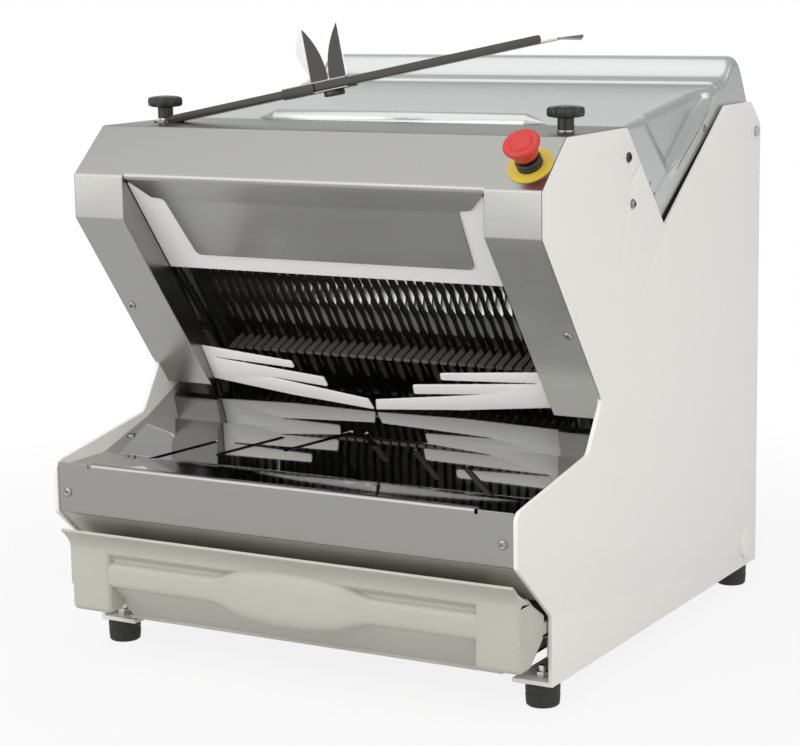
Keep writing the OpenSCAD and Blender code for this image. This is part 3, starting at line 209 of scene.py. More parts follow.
def piece(name, skins, finish, body, stands_for=(), soft=35, inside=None):
    """Joins skins into one object: doubles are merged and faces turned outwards, or, on an open sheet, away
    from the point inside. Edges that turn by more than soft degrees stay sharp."""
    starts = np.cumsum([0] + [len(s[0]) for s in skins[:-1]])
    faces = [f for s, n in zip(skins, starts) for f in (s[1] + n).tolist()]
    faces += [(f + n).tolist() for s, n in zip(skins, starts) for f in s[2]]
    mesh = bpy.data.meshes.new(name)
    mesh.from_pydata(np.concatenate([s[0] for s in skins]).tolist(), [], faces)
    work = bmesh.new()
    work.from_mesh(mesh)
    bmesh.ops.remove_doubles(work, verts=work.verts, dist=2e-6)
    bmesh.ops.dissolve_degenerate(work, edges=work.edges, dist=1e-6)
    bmesh.ops.recalc_face_normals(work, faces=work.faces)
    work.to_mesh(mesh)
    work.free()
    if inside is not None:
        centre, normal = np.empty(len(mesh.polygons) * 3), np.empty(len(mesh.polygons) * 3)
        area = np.empty(len(mesh.polygons))
        mesh.polygons.foreach_get("center", centre)
        mesh.polygons.foreach_get("normal", normal)
        mesh.polygons.foreach_get("area", area)
        away = (centre.reshape(-1, 3) - inside) * normal.reshape(-1, 3)
        if (away.sum(1) * area).sum() < 0:
            mesh.flip_normals()
    mesh.polygons.foreach_set("use_smooth", np.ones(len(mesh.polygons), bool))
    mesh.set_sharp_from_angle(angle=np.radians(soft))
    made = bpy.data.objects.new(name, mesh)
    scene.collection.objects.link(made)
    mesh.materials.append(finish)
    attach(made, body)
    if stands_for:
        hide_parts(*stands_for)
    return made


def grain_group():
    """Group that turns a place on the surface into a fine grain and slow clouds: the grain is noise on
    coordinates stretched by Stretch, and both mix Dark to Light, Smooth to Rough and a Height for a bump."""
    group = bpy.data.node_groups.new("grain_and_clouds", "ShaderNodeTree")
    for name, kind in (("Place", "Vector"), ("Stretch", "Vector"), ("Clouds", "Float"), ("Dark", "Color"),
                       ("Light", "Color"), ("Smooth", "Float"), ("Rough", "Float")):
        group.interface.new_socket(name, in_out="INPUT", socket_type="NodeSocket" + kind)
    for name, kind in (("Color", "Color"), ("Roughness", "Float"), ("Height", "Float")):
        group.interface.new_socket(name, in_out="OUTPUT", socket_type="NodeSocket" + kind)
    start, end = group.nodes.new("NodeGroupInput"), group.nodes.new("NodeGroupOutput")
    stretched = node(group, "VectorMath", "MULTIPLY")
    fine, slow = node(group, "TexNoise", Scale=1.0, Detail=4.0), node(group, "TexNoise", Detail=3.0)
    both, tint = node(group, "Mix", Factor=0.5), node(group, "Mix")
    tint.data_type = "RGBA"
    gloss = node(group, "MapRange", From_Min=0.3, From_Max=0.7)
    wire(group, (start, "Place", stretched, 0), (start, "Stretch", stretched, 1),
         (stretched, 0, fine, "Vector"), (start, "Place", slow, "Vector"), (start, "Clouds", slow, "Scale"),
         (fine, "Fac", both, "A"), (slow, "Fac", both, "B"), (both, "Result", tint, "Factor"),
         (start, "Dark", tint, "A"), (start, "Light", tint, "B"), (both, "Result", gloss, "Value"),
         (start, "Smooth", gloss, "To Min"), (start, "Rough", gloss, "To Max"),
         (tint, "Result", end, "Color"), (gloss, "Result", end, "Roughness"), (fine, "Fac", end, "Height"))
    return group


GRAIN = grain_group()


def finish(name, dark, light, rough, stretch, clouds=9.0, metal=0.0, relief=0.1, depth=0.0002, rim=1.0):
    """Material that varies from dark to light and between two roughnesses by the shared grain, with its bump.
    A tint or stretch is one number or three. On metals rim is the brightness of the glancing reflection."""
    made = bpy.data.materials.new(name)
    made.use_nodes = True
    tree = made.node_tree
    shader, where, grain = tree.nodes["Principled BSDF"], node(tree, "TexCoord"), node(tree, "Group")
    shader.inputs["Metallic"].default_value = metal
    shader.inputs["Specular Tint"].default_value = (rim, rim, rim, 1)
    bump = node(tree, "Bump", Strength=relief, Distance=depth)
    grain.node_tree = GRAIN
    stretch, dark, light = (np.broadcast_to(v, 3).tolist() for v in (stretch, dark, light))
    for socket, value in (("Stretch", stretch), ("Clouds", clouds), ("Dark", (*dark, 1)),
                          ("Light", (*light, 1)), ("Smooth", rough[0]), ("Rough", rough[1])):
        grain.inputs[socket].default_value = value
    wire(tree, (where, "Object", grain, "Place"), (grain, "Color", shader, "Base Color"),
         (grain, "Roughness", shader, "Roughness"), (grain, "Height", bump, "Height"),
         (bump, "Normal", shader, "Normal"))
    return made


def dress(finish_used, *nodes):
    """Gives CAD nodes that stay in view their finish."""
    for name in nodes:
        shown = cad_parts[name].data.materials
        shown.clear()
        shown.append(finish_used)


PANEL_WHITE = finish("panel_white", (0.80, 0.775, 0.735), (0.86, 0.84, 0.80), (0.36, 0.48), 900,
                     relief=0.06)
SIDES = (-1, "left"), (1, "right")
OUTER_X, PANEL_T, FLANGE_W, PANEL_EDGE = 295.0, 5.0, 48.0, 0.7
INNER_X = OUTER_X - PANEL_T
HOOD_FRONT, HOOD_LOW, HOOD_EDGE = 61.0, 479.0, 528.0
HOOD_TOP_FRONT, HOOD_TOP, HOOD_BACK = 119.0, 579.0, 273.0
NOSE_FOOT, NOSE_HEAD, SKIRT_Y, SKIRT_Z = 148.0, 206.0, 80.0, 78.0
THROAT = np.array([207.0, 287.0])
NOTCH_LOW, NOTCH_REAR = np.array([380.0, 459.0]), np.array([565.0, 585.0])
slit_mouth, slit_end, slit_half = np.array([309.4, 538.3]), np.array([285.0, 521.0]), np.array([-0.5, 0.7])
panel_outline = rounded([
    (HOOD_TOP_FRONT, HOOD_TOP, 6), (HOOD_FRONT, HOOD_EDGE, 5), (HOOD_FRONT, HOOD_LOW, 5), (*THROAT, 8),
    (172, 234, 14), (0, NOSE_HEAD, 12), (0, NOSE_FOOT, 5), (SKIRT_Y, SKIRT_Z, 5), (SKIRT_Y, 0, 1),
    (DEPTH, 0, 1), (DEPTH, 557, 8), (648, 585, 8), (*NOTCH_REAR, 5), (*NOTCH_LOW, 1.5),
    (*(slit_mouth - slit_half), 0.8), (*(slit_end - slit_half), 0.4), (*(slit_end + slit_half), 0.4),
    (*(slit_mouth + slit_half), 3), (HOOD_BACK, HOOD_TOP, 6)])
flange_outline = oblong(SKIRT_Y, DEPTH, 0, PANEL_T, 1)
for side, word in SIDES:
    plate = slab(panel_outline, INNER_X, OUTER_X, PANEL_EDGE, sideways(side))
    flange = slab(flange_outline, OUTER_X - FLANGE_W, INNER_X + 1, PANEL_EDGE, sideways(side))
    piece(f"panel_{word}", [plate, flange], PANEL_WHITE, "housing", [f"side_panel_{word}"])

# Feet: four moulded rubber feet, each on a zinc stud that goes through the panel's flange into a nut.
# Turned shape with a waist groove and a rounded sole.
FOOT_R, FOOT_X, FOOT_Y = 19.0, 275.0, (98.0, 646.0)


def lathe(profile, put, around=48):
    """Turned skin: profile rows (r, h) are carried once round the axis, which is t of put(a, b, t)."""
    r, h = np.array(profile, float).T
    angle = np.linspace(0, 2 * np.pi, around, endpoint=False)
    r, h = r[:, None], h[:, None]
    return skin(put(r * np.cos(angle), r * np.sin(angle), h + 0 * angle), ring=True)


foot_profile = [(0, -26), (14, -26), (16.5, -25.4), (18, -24), (18.6, -19), (18.9, -12), (18.4, -11.2),
                (18.4, -9.8), (18.9, -9), (FOOT_R, -3), (18.2, -0.8), (16.5, -0.1), (0, -0.1)]
RUBBER = finish("foot_rubber", 0.010, (0.022, 0.021, 0.020), (0.55, 0.75), 500, relief=0.2)
feet = [lathe(foot_profile, lambda a, b, t: drawing(s * FOOT_X + a, y + b, t))
        for s in (-1, 1) for y in FOOT_Y]
piece("rubber_feet", feet, RUBBER, "housing", ["feet"])
ZINC = finish("bright_zinc", (0.52, 0.52, 0.50), (0.68, 0.68, 0.66), (0.16, 0.30), 700, metal=1.0)
dress(ZINC, "foot_bolts")

# Bolts, caps and hinge heads on the panels' outer faces: dark chrome dome nuts, a black socket screw at the
# lid's notch, white plastic plugs low at the back. All are turned shapes, pressed or screwed to the panel.
BOLT_R = 5.8


def out_of_panel(side, y, z):
    """Placing function for a shape whose axis leaves the panel's outer face at (y, z)."""
    return lambda a, b, t: drawing(side * (OUTER_X + t), y + a, z + b)


dome_nut = [(0, 0.5), (1.9, 0.5), (2.1, 3.2), (3.2, 3.6), (4.2, 3.0), (4.6, 1.0), (BOLT_R, 0.9),
            (BOLT_R, 0), (0, 0)]
socket_head = [(0, 0.6), (2.4, 0.6), (2.6, 2.4), (3.4, 2.8), (4.6, 2.4), (BOLT_R, 1.2), (BOLT_R, 0), (0, 0)]
hinge_washer = [(0, 1.2), (6.1, 1.2), (6.4, 0.9), (6.4, 0), (0, 0)]
hinge_head = [(0, 1.6), (2.2, 1.6), (2.4, 2.6), (4.2, 3.0), (4.8, 2.5), (4.8, 1.1), (0, 1.1)]
plug_cap = [(0, 3), (12, 2.9), (17, 2.5), (18.5, 1.7), (19, 0.6), (19, 0), (0, 0)]
SOCKET_AT, NUT_AT, HINGE_AT, CAP_AT = (276, 546), (287, 494), (665, 548), (646, 28)
CHROME = finish("dark_chrome", (0.20, 0.20, 0.195), (0.42, 0.42, 0.41), (0.10, 0.2), 500, metal=1.0)
BLACK_OXIDE_AND_SHADE = finish("black_oxide_and_shade", 0.03, (0.09, 0.09, 0.085), (0.3, 0.45), 600, metal=0.8)
nuts = [lathe(dome_nut, out_of_panel(s, *NUT_AT), 36) for s in (-1, 1)]
piece("panel_dome_nuts", nuts, CHROME, "housing", ["panel_bolts"])
sockets = [lathe(socket_head, out_of_panel(s, *SOCKET_AT)) for s in (-1, 1)]
piece("panel_socket_screws", sockets, BLACK_OXIDE_AND_SHADE, "housing")
for word, profile, used in (("washers", hinge_washer, CHROME), ("heads", hinge_head, BLACK_OXIDE_AND_SHADE)):
    hinge_bolts = [lathe(profile, out_of_panel(s, *HINGE_AT)) for s in (-1, 1)]
    piece(f"hinge_bolt_{word}", hinge_bolts, used, "housing")
plugs = [lathe(plug_cap, out_of_panel(s, *CAP_AT)) for s in (-1, 1)]
piece("panel_plugs", plugs, PANEL_WHITE, "housing", ["side_caps"])
dress(ZINC, "hinge_pins")

# Frame and drive inside the body: tie bars, rear panel, motor, belt, crank, guide rods and their brackets.
# Turned steel, grey-painted castings and a black rubber belt, all as the drive needs them. The guide rods'
# and the tie bars' black is painted shade. So is a black sheet behind the rear panel's slots, which keeps
# daylight out of the throat.
CAST_GREY = finish("cast_grey", (0.10, 0.105, 0.11), (0.17, 0.175, 0.18), (0.4, 0.6), 350, relief=0.35)
BLACK_PAINT_AND_SHADE = finish("black_paint_and_shade", 0.012, (0.030, 0.029, 0.028), (0.35, 0.5), 400)
BELT = finish("belt_rubber", 0.012, 0.03, (0.6, 0.8), (60, 900, 900), relief=0.3)
GROUND_STEEL = finish("ground_steel", 0.42, 0.60, (0.15, 0.28), (60, 900, 900), metal=1.0)
dress(GROUND_STEEL, "crankshaft")
# The guide rods are dressed black as painted shade, so that they read dark through the blade gaps.
dress(BLACK_OXIDE_AND_SHADE, "guide_rods")
dress(CAST_GREY, "motor", "crank_bearings", "rod_brackets", "crank_pulley", "motor_pulley", "conrods_front",
      "conrods_rear")
dress(BELT, "drive_belt")
dress(PANEL_WHITE, "rear_panel")
# The blade frames are black paint. The tie bars are dressed black as painted shade, so that they read dark
# through the gaps.
dress(BLACK_PAINT_AND_SHADE, "blade_frame_front", "blade_frame_rear", "tie_bars")
# A black sheet behind the rear panel's slots is painted shade: it keeps daylight out of the throat and reads
# dark through the gaps.
SCREEN_X, SCREEN_Z, SCREEN_R, SCREEN_Y, SCREEN_T = (-50.0, 170.0), (50.0, 173.0), 6.0, 654.7, 1.2
screen = slab(oblong(*SCREEN_X, *SCREEN_Z, SCREEN_R), 0, SCREEN_T, 0.2,
              lambda a, b, t: drawing(a, SCREEN_Y - t, b))
piece("throat_shade_screen", [screen], BLACK_PAINT_AND_SHADE, "housing")
SATIN_STEEL = finish("satin_steel", (0.352, 0.350, 0.333), (0.380, 0.378, 0.360), (0.27, 0.30),
                     (4, 1500, 1500), clouds=3.0, metal=1.0, relief=0.0, rim=0.55)
dress(SATIN_STEEL, "motor_plate", "drawer_runners")

# Blades: hardened steel strips in two sets that lean against each other and cross behind the uprights.
# Both edges are ground in long waves between points, so the gaps between neighbours are rows of leaves.
LEAN = np.arctan2(THROAT[0] - HOOD_FRONT, HOOD_LOW - THROAT[1])
BLADE_LEAN, BLADE_DEPTH, FRAME_MID, BLADE_HALF, CROSSING = np.radians(0.6), 70.0, 36.0, 198.0, 57.0
PITCH, STEPS, BLADE_W, BLADE_T = 12.0, 18, 14.0, 0.6
WAVE, WAVE_DEPTH, BEVEL, FRONT_POINT, REAR_POINT = 40.3, 3.2, 2.0, 20.0, 5.0


def unit(angle):
    """Unit vector at an angle: its cosine and its sine."""
    return np.array([np.cos(angle), np.sin(angle)])


def tilted(place, way, x0=0.0):
    """Placing function on a slope from x0 and the (y, z) place: x across, along by the unit vector way, out
    square to it."""
    return lambda x, along, out: drawing(x0 + x, place[0] + along * way[0] - out * way[1],
                                         place[1] + along * way[1] + out * way[0])


in_slope = unit(LEAN)
on_slope = tilted(THROAT, in_slope)


def blade(x, lean):
    """Strip with six points across: edge, bevel, bevel, edge and back. Each edge is hollowed between points
    by depth times |sin(pi s / wave)|, with s along the blade from one of them."""
    along = np.linspace(-BLADE_HALF, BLADE_HALF, 160)[:, None]
    fore, aft = (BLADE_W / 2 - WAVE_DEPTH * np.abs(np.sin(np.pi * (along - point) / WAVE))
                 for point in (FRONT_POINT, REAR_POINT))
    across = np.hstack([-fore, BEVEL - fore, aft - BEVEL, aft, aft - BEVEL, BEVEL - fore])
    thick = np.broadcast_to(np.array([0, 1, 1, 0, -1, -1]) * BLADE_T / 2, across.shape)
    depth = BLADE_DEPTH + across * np.cos(lean) - (along - CROSSING) * np.sin(lean)
    rise = FRAME_MID + across * np.sin(lean) + along * np.cos(lean)
    return skin(on_slope(x + thick, depth, rise), ring=True, caps=True)


# The blades' near-black colour is painted shade: they stand in the shaded throat and are darkened to read as
# a dark lattice.
BLADE_PAINTED_SHADE = finish("blade_steel", (0.020, 0.018, 0.016), (0.05, 0.046, 0.042), (0.3, 0.45), (900, 900, 40),
                    metal=0.7)
for word, lean, first in (("front", BLADE_LEAN, 0), ("rear", -BLADE_LEAN, 1)):
    rows = [blade((k - STEPS) * PITCH, lean) for k in range(first, 2 * STEPS + 1, 2)]
    piece(f"wave_blades_{word}", rows, BLADE_PAINTED_SHADE, f"{word}_blades", [f"blades_{word}"],
          soft=20)

# Comb and feed tray behind the blades: a grey moulded comb whose teeth stand between the blades,
# and a folded steel tray that the loaf slides on.
COMB_GREY = finish("comb_grey", (0.10, 0.092, 0.088), (0.15, 0.14, 0.132), (0.4, 0.55), 500, relief=0.15)
dress(COMB_GREY, "guide_comb")
PALE_SHEET = finish("pale_sheet", (0.85, 0.85, 0.83), (0.91, 0.91, 0.89), (0.3, 0.42), (4, 600, 600),
                    clouds=4.0, metal=0.1, relief=0.03)
dress(PALE_SHEET, "feed_tray")

# Exit table: mirror-polished stainless sheet, folded to a shelf, a ramp and an apron, with slanting slots.
# It lies between the panels and is held by a button screw near each end.
POLISHED = finish("polished_steel", (0.43, 0.43, 0.425), (0.47, 0.47, 0.46), (0.03, 0.06), (20, 700, 700),
                  clouds=4.0, metal=1.0, relief=0.02, depth=0.00005)
dress(POLISHED, "bread_table")

# Front fascia: a bright steel strip across the nose. Its upper edge is rolled over the shelf between two
# relief notches, its ends stay flat for their screws, and its lower edge folds back along the panels' slant.
FASCIA_Y, SHELF_Z, NOSE_LOW, TAB_W, NOTCH_W = 2.5, 200.5, 149.0, 46.0, 4.0
SHEET_T, FOLD_Y = 2.0, 58.0


def folded(path, radius, steps=6):
    """Open path with its inner corners turned to arcs of the given radii, by the rule of rounded."""
    p = np.array(path, float)
    ring = rounded(np.column_stack([p, np.broadcast_to(radius, len(p))]), steps).reshape(len(p), steps, 2)
    return np.concatenate([p[:1], ring[1:-1].reshape(-1, 2), p[-1:]])


def spread(path, xs):
    """Open sheet: a (y, z) path carried along x at the given stations."""
    return skin(drawing(np.array(xs, float)[:, None], path[:, 0], path[:, 1]))


def bevel(made, name, width, segments, turn):
    """Rounds the edges of a piece that turn by more than turn degrees, over a width in millimetres."""
    edge = made.modifiers.new(name, "BEVEL")
    edge.width, edge.segments = width / 1000, segments
    edge.limit_method, edge.angle_limit = "ANGLE", np.radians(turn)
    return edge


def gauge(made, thickness, edge=0.4):
    """Gives an open sheet its thickness, inwards, and breaks its sharp edges, both in millimetres."""
    wall = made.modifiers.new("sheet_gauge", "SOLIDIFY")
    wall.thickness, wall.offset = thickness / 1000, -1.0
    if edge:
        bevel(made, "broken_edges", edge, 2, 50).harden_normals = True


skirt = [FOLD_Y, NOSE_LOW - (FOLD_Y - FASCIA_Y) * (NOSE_FOOT - SKIRT_Z) / SKIRT_Y]
tab_x, tab_end, face_top = INNER_X - TAB_W, INNER_X - 0.3, [FASCIA_Y, SHELF_Z + 0.5]
face_path = folded([face_top, [FASCIA_Y, NOSE_LOW], skirt], 7.0, 10)
bend_end = len(face_path) - 1
roll_path = folded([[20, SHELF_Z + 1.0], [11, SHELF_Z + 6.5], [FASCIA_Y, SHELF_Z + 6.5], face_top],
                   [1, 4, 3.6, 1], 8)
tab_path = np.array([[FASCIA_Y, SHELF_Z + 5.5], face_top])
BRIGHT_SHEET = finish("bright_sheet", (0.305, 0.303, 0.284), (0.340, 0.338, 0.318), (0.15, 0.20),
                      (4, 900, 900), clouds=3.0, metal=1.0, relief=0.0, rim=0.6)
stations = np.array([tab_x, tab_x + NOTCH_W, tab_end])
fascia = piece("fascia_strip", [spread(face_path[:bend_end], np.concatenate([-stations[::-1], stations])),
                                spread(roll_path, [-tab_x, tab_x]), spread(tab_path, stations[1:]),
                                spread(tab_path, -stations[:0:-1])],
               BRIGHT_SHEET, "housing", ["front_fascia"], inside=drawing(0.0, 40.0, 180.0))
gauge(fascia, SHEET_T)
# The fold-back is the fascia's own sheet, given a lighter, less metallic finish: a painted reflection, for
# the grey that the fold shows below the fascia.
SKIRT_STEEL = finish("skirt_steel", (0.40, 0.385, 0.345), (0.46, 0.445, 0.405), (0.35, 0.45), (4, 600, 600),
                     clouds=3.0, metal=0.35, relief=0.02)
fold_back = piece("fascia_fold_back", [spread(face_path[bend_end - 1:], [-tab_end, tab_end])], SKIRT_STEEL,
                  "housing", inside=drawing(0.0, 80.0, 180.0))
gauge(fold_back, SHEET_T)

# Button screws of the uprights, the fascia and the table: dark chrome heads with a socket.
# Each is turned, stands on its sheet and is set square to it.
button = [(0, 0.7), (1.9, 0.7), (2.1, 2.1), (3.0, 2.5), (4.3, 2.2), (5.2, 1.3), (5.5, 0.3), (5.5, 0), (0, 0)]
UPRIGHT_SCREW, FASCIA_SCREW = (INNER_X - 7, 100.6), (INNER_X - 13, 172.0)
RAMP, RAMP_RUN, TABLE_SCREW = np.radians(17.0), 42.0, (INNER_X - 9, 132.0)
on_ramp = tilted((TABLE_SCREW[1], SHELF_Z + RAMP_RUN * np.tan(RAMP)), unit(RAMP))
screws = []
for side in (-1, 1):
    screws += [
        lathe(button, lambda a, b, t: on_slope(side * UPRIGHT_SCREW[0] + a, -t, UPRIGHT_SCREW[1] + b)),
        lathe(button, lambda a, b, t: drawing(side * FASCIA_SCREW[0] + a, FASCIA_Y - t, FASCIA_SCREW[1] + b)),
        lathe(button, lambda a, b, t: on_ramp(side * TABLE_SCREW[0] + a, b, t))]
piece("button_screws", screws, CHROME, "housing", ["hood_screws"])

# Retainers and shield: white coated sheet parts at the throat. Each retainer is fixed to an upright and is
# slit into three springy fingers that hold the slices; the shield closes the blades off above them.
UPRIGHT_X = 228.0
RETAINER_WHITE = finish("retainer_white", (0.85, 0.845, 0.82), (0.91, 0.905, 0.885), (0.3, 0.42), 700,
                        relief=0.05)
dress(RETAINER_WHITE, "blade_shield")
BOW, TIP_BACK, RETAINER_T = np.arctan2(16.6, UPRIGHT_X), np.radians(6.4), 2.0
RETAINER_DEPTH, RETAINER_DROP = 11.8, 29.0
reach = UPRIGHT_X / np.cos(BOW)
low_slit, top_slit, middle_tip, top_tip = reach * 0.38, reach * 0.066, reach * 0.75, reach * 0.575
retainer_outline = rounded([
    (0.25, 0, 0.4), (reach / 2, -8.5, 90), (reach - 1.4, -12.2, 1.2), (reach - 5, 2.6, 1.5),
    (low_slit + 40, 11.2, 60), (low_slit, 15, 0.3), (low_slit + 3, 15.8, 0.3), (middle_tip, 13.5, 2.4),
    (middle_tip - 2, 27, 2.4), (top_slit + 3, 33.2, 0.3), (top_slit, 34, 0.3), (top_slit + 3, 34.8, 0.3),
    (top_tip, 35.4, 2.4), (top_tip - 1, 45.3, 2.4), (0.25, 50.5, 0.4)])


def on_retainer(side):
    """Placing function: the plate swings forward by BOW about its fixed end and tips back by TIP_BACK."""
    def put(a, b, t):
        x, y = a * np.cos(BOW) - t * np.sin(BOW), -a * np.sin(BOW) - t * np.cos(BOW)
        depth = y * np.cos(TIP_BACK) + b * np.sin(TIP_BACK)
        rise = -y * np.sin(TIP_BACK) + b * np.cos(TIP_BACK)
        return on_slope(-side * (x - UPRIGHT_X), depth + RETAINER_DEPTH, rise - RETAINER_DROP)
    return put


for side, word in SIDES:
    plate = slab(retainer_outline, 0, RETAINER_T, 0.6, on_retainer(side))
    piece(f"fingers_{word}", [plate], RETAINER_WHITE, "housing", [f"retainer_{word}"])

# Front hood: one blank of satin stainless sheet, folded to a top, a chamfer, two corner squares and uprights.
# The uprights turn back at their inner edges, and the chamfer's middle is folded down into the deflector.
# A black strip is painted shadow: it stands for the gap where the sheet laps over the panels' edges.
TAIL, RETURN_D, BACK_LIP, BEND, PROUD = 31.0, 30.0, 562.0, 8.0, 0.5
LAP_X, JOINT_X, HOOD_MIDDLE = OUTER_X - 0.8, OUTER_X - 0.1, drawing(0.0, 250.0, 480.0)
down_slope = np.array([in_slope[1], -in_slope[0]])
edge_point = np.array([HOOD_FRONT, HOOD_EDGE])
chamfer_dir = np.array([HOOD_TOP_FRONT - HOOD_FRONT, HOOD_TOP - HOOD_EDGE])
chamfer_dir = chamfer_dir / np.linalg.norm(chamfer_dir)
bend_start = edge_point + BEND * chamfer_dir
tail_end = THROAT + TAIL * down_slope
proud = np.array([-chamfer_dir[1], chamfer_dir[0]]) * PROUD
top_path = folded([[HOOD_BACK, BACK_LIP], [HOOD_BACK, HOOD_TOP + PROUD], [HOOD_TOP_FRONT, HOOD_TOP + PROUD],
                   bend_start + proud], 3.0)
lip_path = folded([bend_start + proud, edge_point + proud, edge_point + 5.2 * down_slope], 5.0, 8)
side_path = folded([bend_start + proud, edge_point + proud, [HOOD_FRONT - PROUD, HOOD_LOW],
                    tail_end - 0.4 * in_slope, tail_end + 9 * in_slope + 3 * down_slope], [1, 5, 3, 3, 1], 8)
return_top = edge_point + 1.0 * down_slope
return_back = np.array([tail_end + RETURN_D * in_slope, return_top + 0.2 * in_slope])
tail_row = np.argmin(np.linalg.norm(side_path - tail_end, axis=1))
hood_skins = [spread(top_path, [-LAP_X, -INNER_X, -UPRIGHT_X, UPRIGHT_X, INNER_X, LAP_X]),
              spread(lip_path, [-UPRIGHT_X, UPRIGHT_X])]
for side in (-1, 1):
    hood_skins.append(spread(side_path, [side * UPRIGHT_X, side * INNER_X, side * LAP_X]))
    wall = np.concatenate([side_path[8:tail_row + 1], return_back])
    wall_points = drawing(side * UPRIGHT_X, wall[:, 0], wall[:, 1])
    hood_skins.append((wall_points, np.empty((0, 4), int), [np.arange(len(wall))]))
hood = piece("hood_sheet", hood_skins, SATIN_STEEL, "housing", ["front_hood"],
             inside=HOOD_MIDDLE)
bevel(hood, "fold_radius", 2.6, 4, 70)
gauge(hood, SHEET_T)
# Painted shadow: a thin black strip between the lapping sheet and each panel, for the gap there.
edge_run = folded([[HOOD_BACK, HOOD_TOP + 0.2], [HOOD_TOP_FRONT, HOOD_TOP + 0.2], edge_point - [0.15, 0],
                   [HOOD_FRONT - 0.3, HOOD_LOW], THROAT - 10 * down_slope - 0.25 * in_slope], [1, 6, 5, 4, 1])
gap_shadows = [spread(edge_run, [side * (LAP_X - 0.3), side * JOINT_X]) for side in (-1, 1)]
piece("hood_gap_shadow", gap_shadows, BLACK_PAINT_AND_SHADE, "housing", inside=HOOD_MIDDLE)

# Deflector: the part of the hood's blank that is folded down between the uprights, parallel to them.
# Its upper corners are cut to horns and its lower corners are rounded.
DEFLECTOR_D, DEFLECTOR_TOP = 29.7, 277.0
half_plate = [(179, -116, 8), (187, -30, 6), (203, -28, 4), (UPRIGHT_X - 1, -2, 1), (UPRIGHT_X - 1, 0, 1)]
deflector_outline = rounded([(x, DEFLECTOR_TOP + r, q) for x, r, q in half_plate]
                            + [(-x, DEFLECTOR_TOP + r, q) for x, r, q in half_plate[::-1]])
plate = slab(deflector_outline, DEFLECTOR_D, DEFLECTOR_D + SHEET_T, 0.5, lambda a, b, t: on_slope(a, t, b))
piece("deflector_fold", [plate], SATIN_STEEL, "housing", ["deflector_plate"])

# Lid: deep-drawn satin silver shell over the loading chamber, hung on the two hinge pins.
# A raised rim runs across the back and down both sides of the notch; the front edge has a half-round lip.
LID_X, LID_T = 286.5, 1.6
LID_FRONT, LID_RISE = np.array([278.0, 578.0]), np.tan(np.radians(6.6))
CROWN_Y, CROWN_Z, STEP_Y, RIM_Y, RIM_H, BEAD_W = (284.0, 609.0), 578.7, 548.0, 575.0, 22.6, 3.4
LEG_LOW, LEG_TOP, LEG_LIFT = np.array([380.0, 460.0]), np.array([565.0, 575.4]), 4.5
BAND_W, BAND_BEAD, FACET_DEPTH = 33.0, 3.4, 10.5


def ease(value):
    """Smooth step from 0 to 1: 3 v^2 - 2 v^3 on the clipped value."""
    v = np.clip(value, 0, 1)
    return v * v * (3 - 2 * v)


def bead(value, width):
    """Rounded bead of height 1: exp(-(v / width)^2)."""
    return np.exp(-(value / width) ** 2)


across = np.linspace(*CROWN_Y, 200)
crown = (CROWN_Z + (across - CROWN_Y[0]) * LID_RISE + 2.2 * ease((across - STEP_Y) / 8)
         + RIM_H * ease((across - RIM_Y) / 37)
         + 2.4 * bead(across - 556, BEAD_W) + 2.6 * bead(across - 571, BEAD_W))
lid_front = np.array([[280, 563], [278.4, 574], [279.6, 577.4]])
lid_tail = np.array([[616, 641.9], [622, 640.3], [627, 636.6], [632, 630], [642, 613], [654, 592], [660, 575],
                     [662, 556]])
lid_centre = np.concatenate([lid_front, np.column_stack([across, crown]), lid_tail])
gone = np.concatenate([[0], np.cumsum(np.linalg.norm(np.diff(lid_centre, axis=0), axis=1))])
run = np.interp(np.linspace(0, 1, 260), [0, 0.5, 0.9, 1], gone[-1] * np.array([0, 0.58, 0.88, 1]))
lid_y, lid_z = (np.interp(run, gone, lid_centre[:, k]) for k in (0, 1))
smooth = np.ones(3) / 3
lid_y[1:-1], lid_z[1:-1] = (np.convolve(v, smooth, "valid") for v in (lid_y, lid_z))
rear_slope = (LEG_TOP[1] - LEG_LOW[1]) / (LEG_TOP[0] - LEG_LOW[0])
band_unit = np.array([-rear_slope, 1]) / np.hypot(rear_slope, 1)
behind_low = lid_y - LEG_LOW[0]
front_leg = (LID_FRONT[1] - 2
             - (lid_y - LID_FRONT[0]) * (LID_FRONT[1] - LEG_LOW[1]) / (LEG_LOW[0] - LID_FRONT[0]))
rear_leg = (LEG_LOW[1] + behind_low * rear_slope
            + LEG_LIFT * ease(behind_low / 12) * ease((556 - lid_y) / 20))
lid_foot = np.minimum(np.where(behind_low < 0, front_leg, np.minimum(rear_leg, LEG_TOP[1])), lid_z - 1.0)
CREASE_TOP, CREASE_LOW, FACET_TIP = np.array([[344.0, 570.0], [399.0, 521.0], [524.0, 604.0]])


def lid_bulge(y, z):
    """How far the lid's side stands out of its flat wall: the band along the rear leg is proud and ends in a
    rounded bead, and behind the crease the facet sinks in a plane that is deepest along the band."""
    off = (y - LEG_LOW[0]) * band_unit[0] + (z - LEG_LOW[1]) * band_unit[1]
    band = 1 - ease((off - BAND_W) / 9)
    crease = (CREASE_LOW - CREASE_TOP) / np.linalg.norm(CREASE_LOW - CREASE_TOP)
    behind = (z - CREASE_TOP[1]) * crease[0] - (y - CREASE_TOP[0]) * crease[1]
    deepest = (FACET_TIP[1] - CREASE_TOP[1]) * crease[0] - (FACET_TIP[0] - CREASE_TOP[0]) * crease[1]
    facet = np.clip(behind / deepest, 0, 1.1)
    sunk = 0.5 * ease(facet / 0.12) + 0.5 * facet
    return (0.4 * band + BAND_BEAD * bead(off - 31, 6) * ease(facet / 0.25) * ease((562 - y) / 75)
            - FACET_DEPTH * sunk * (1 - band) * ease((566 - y) / 85))


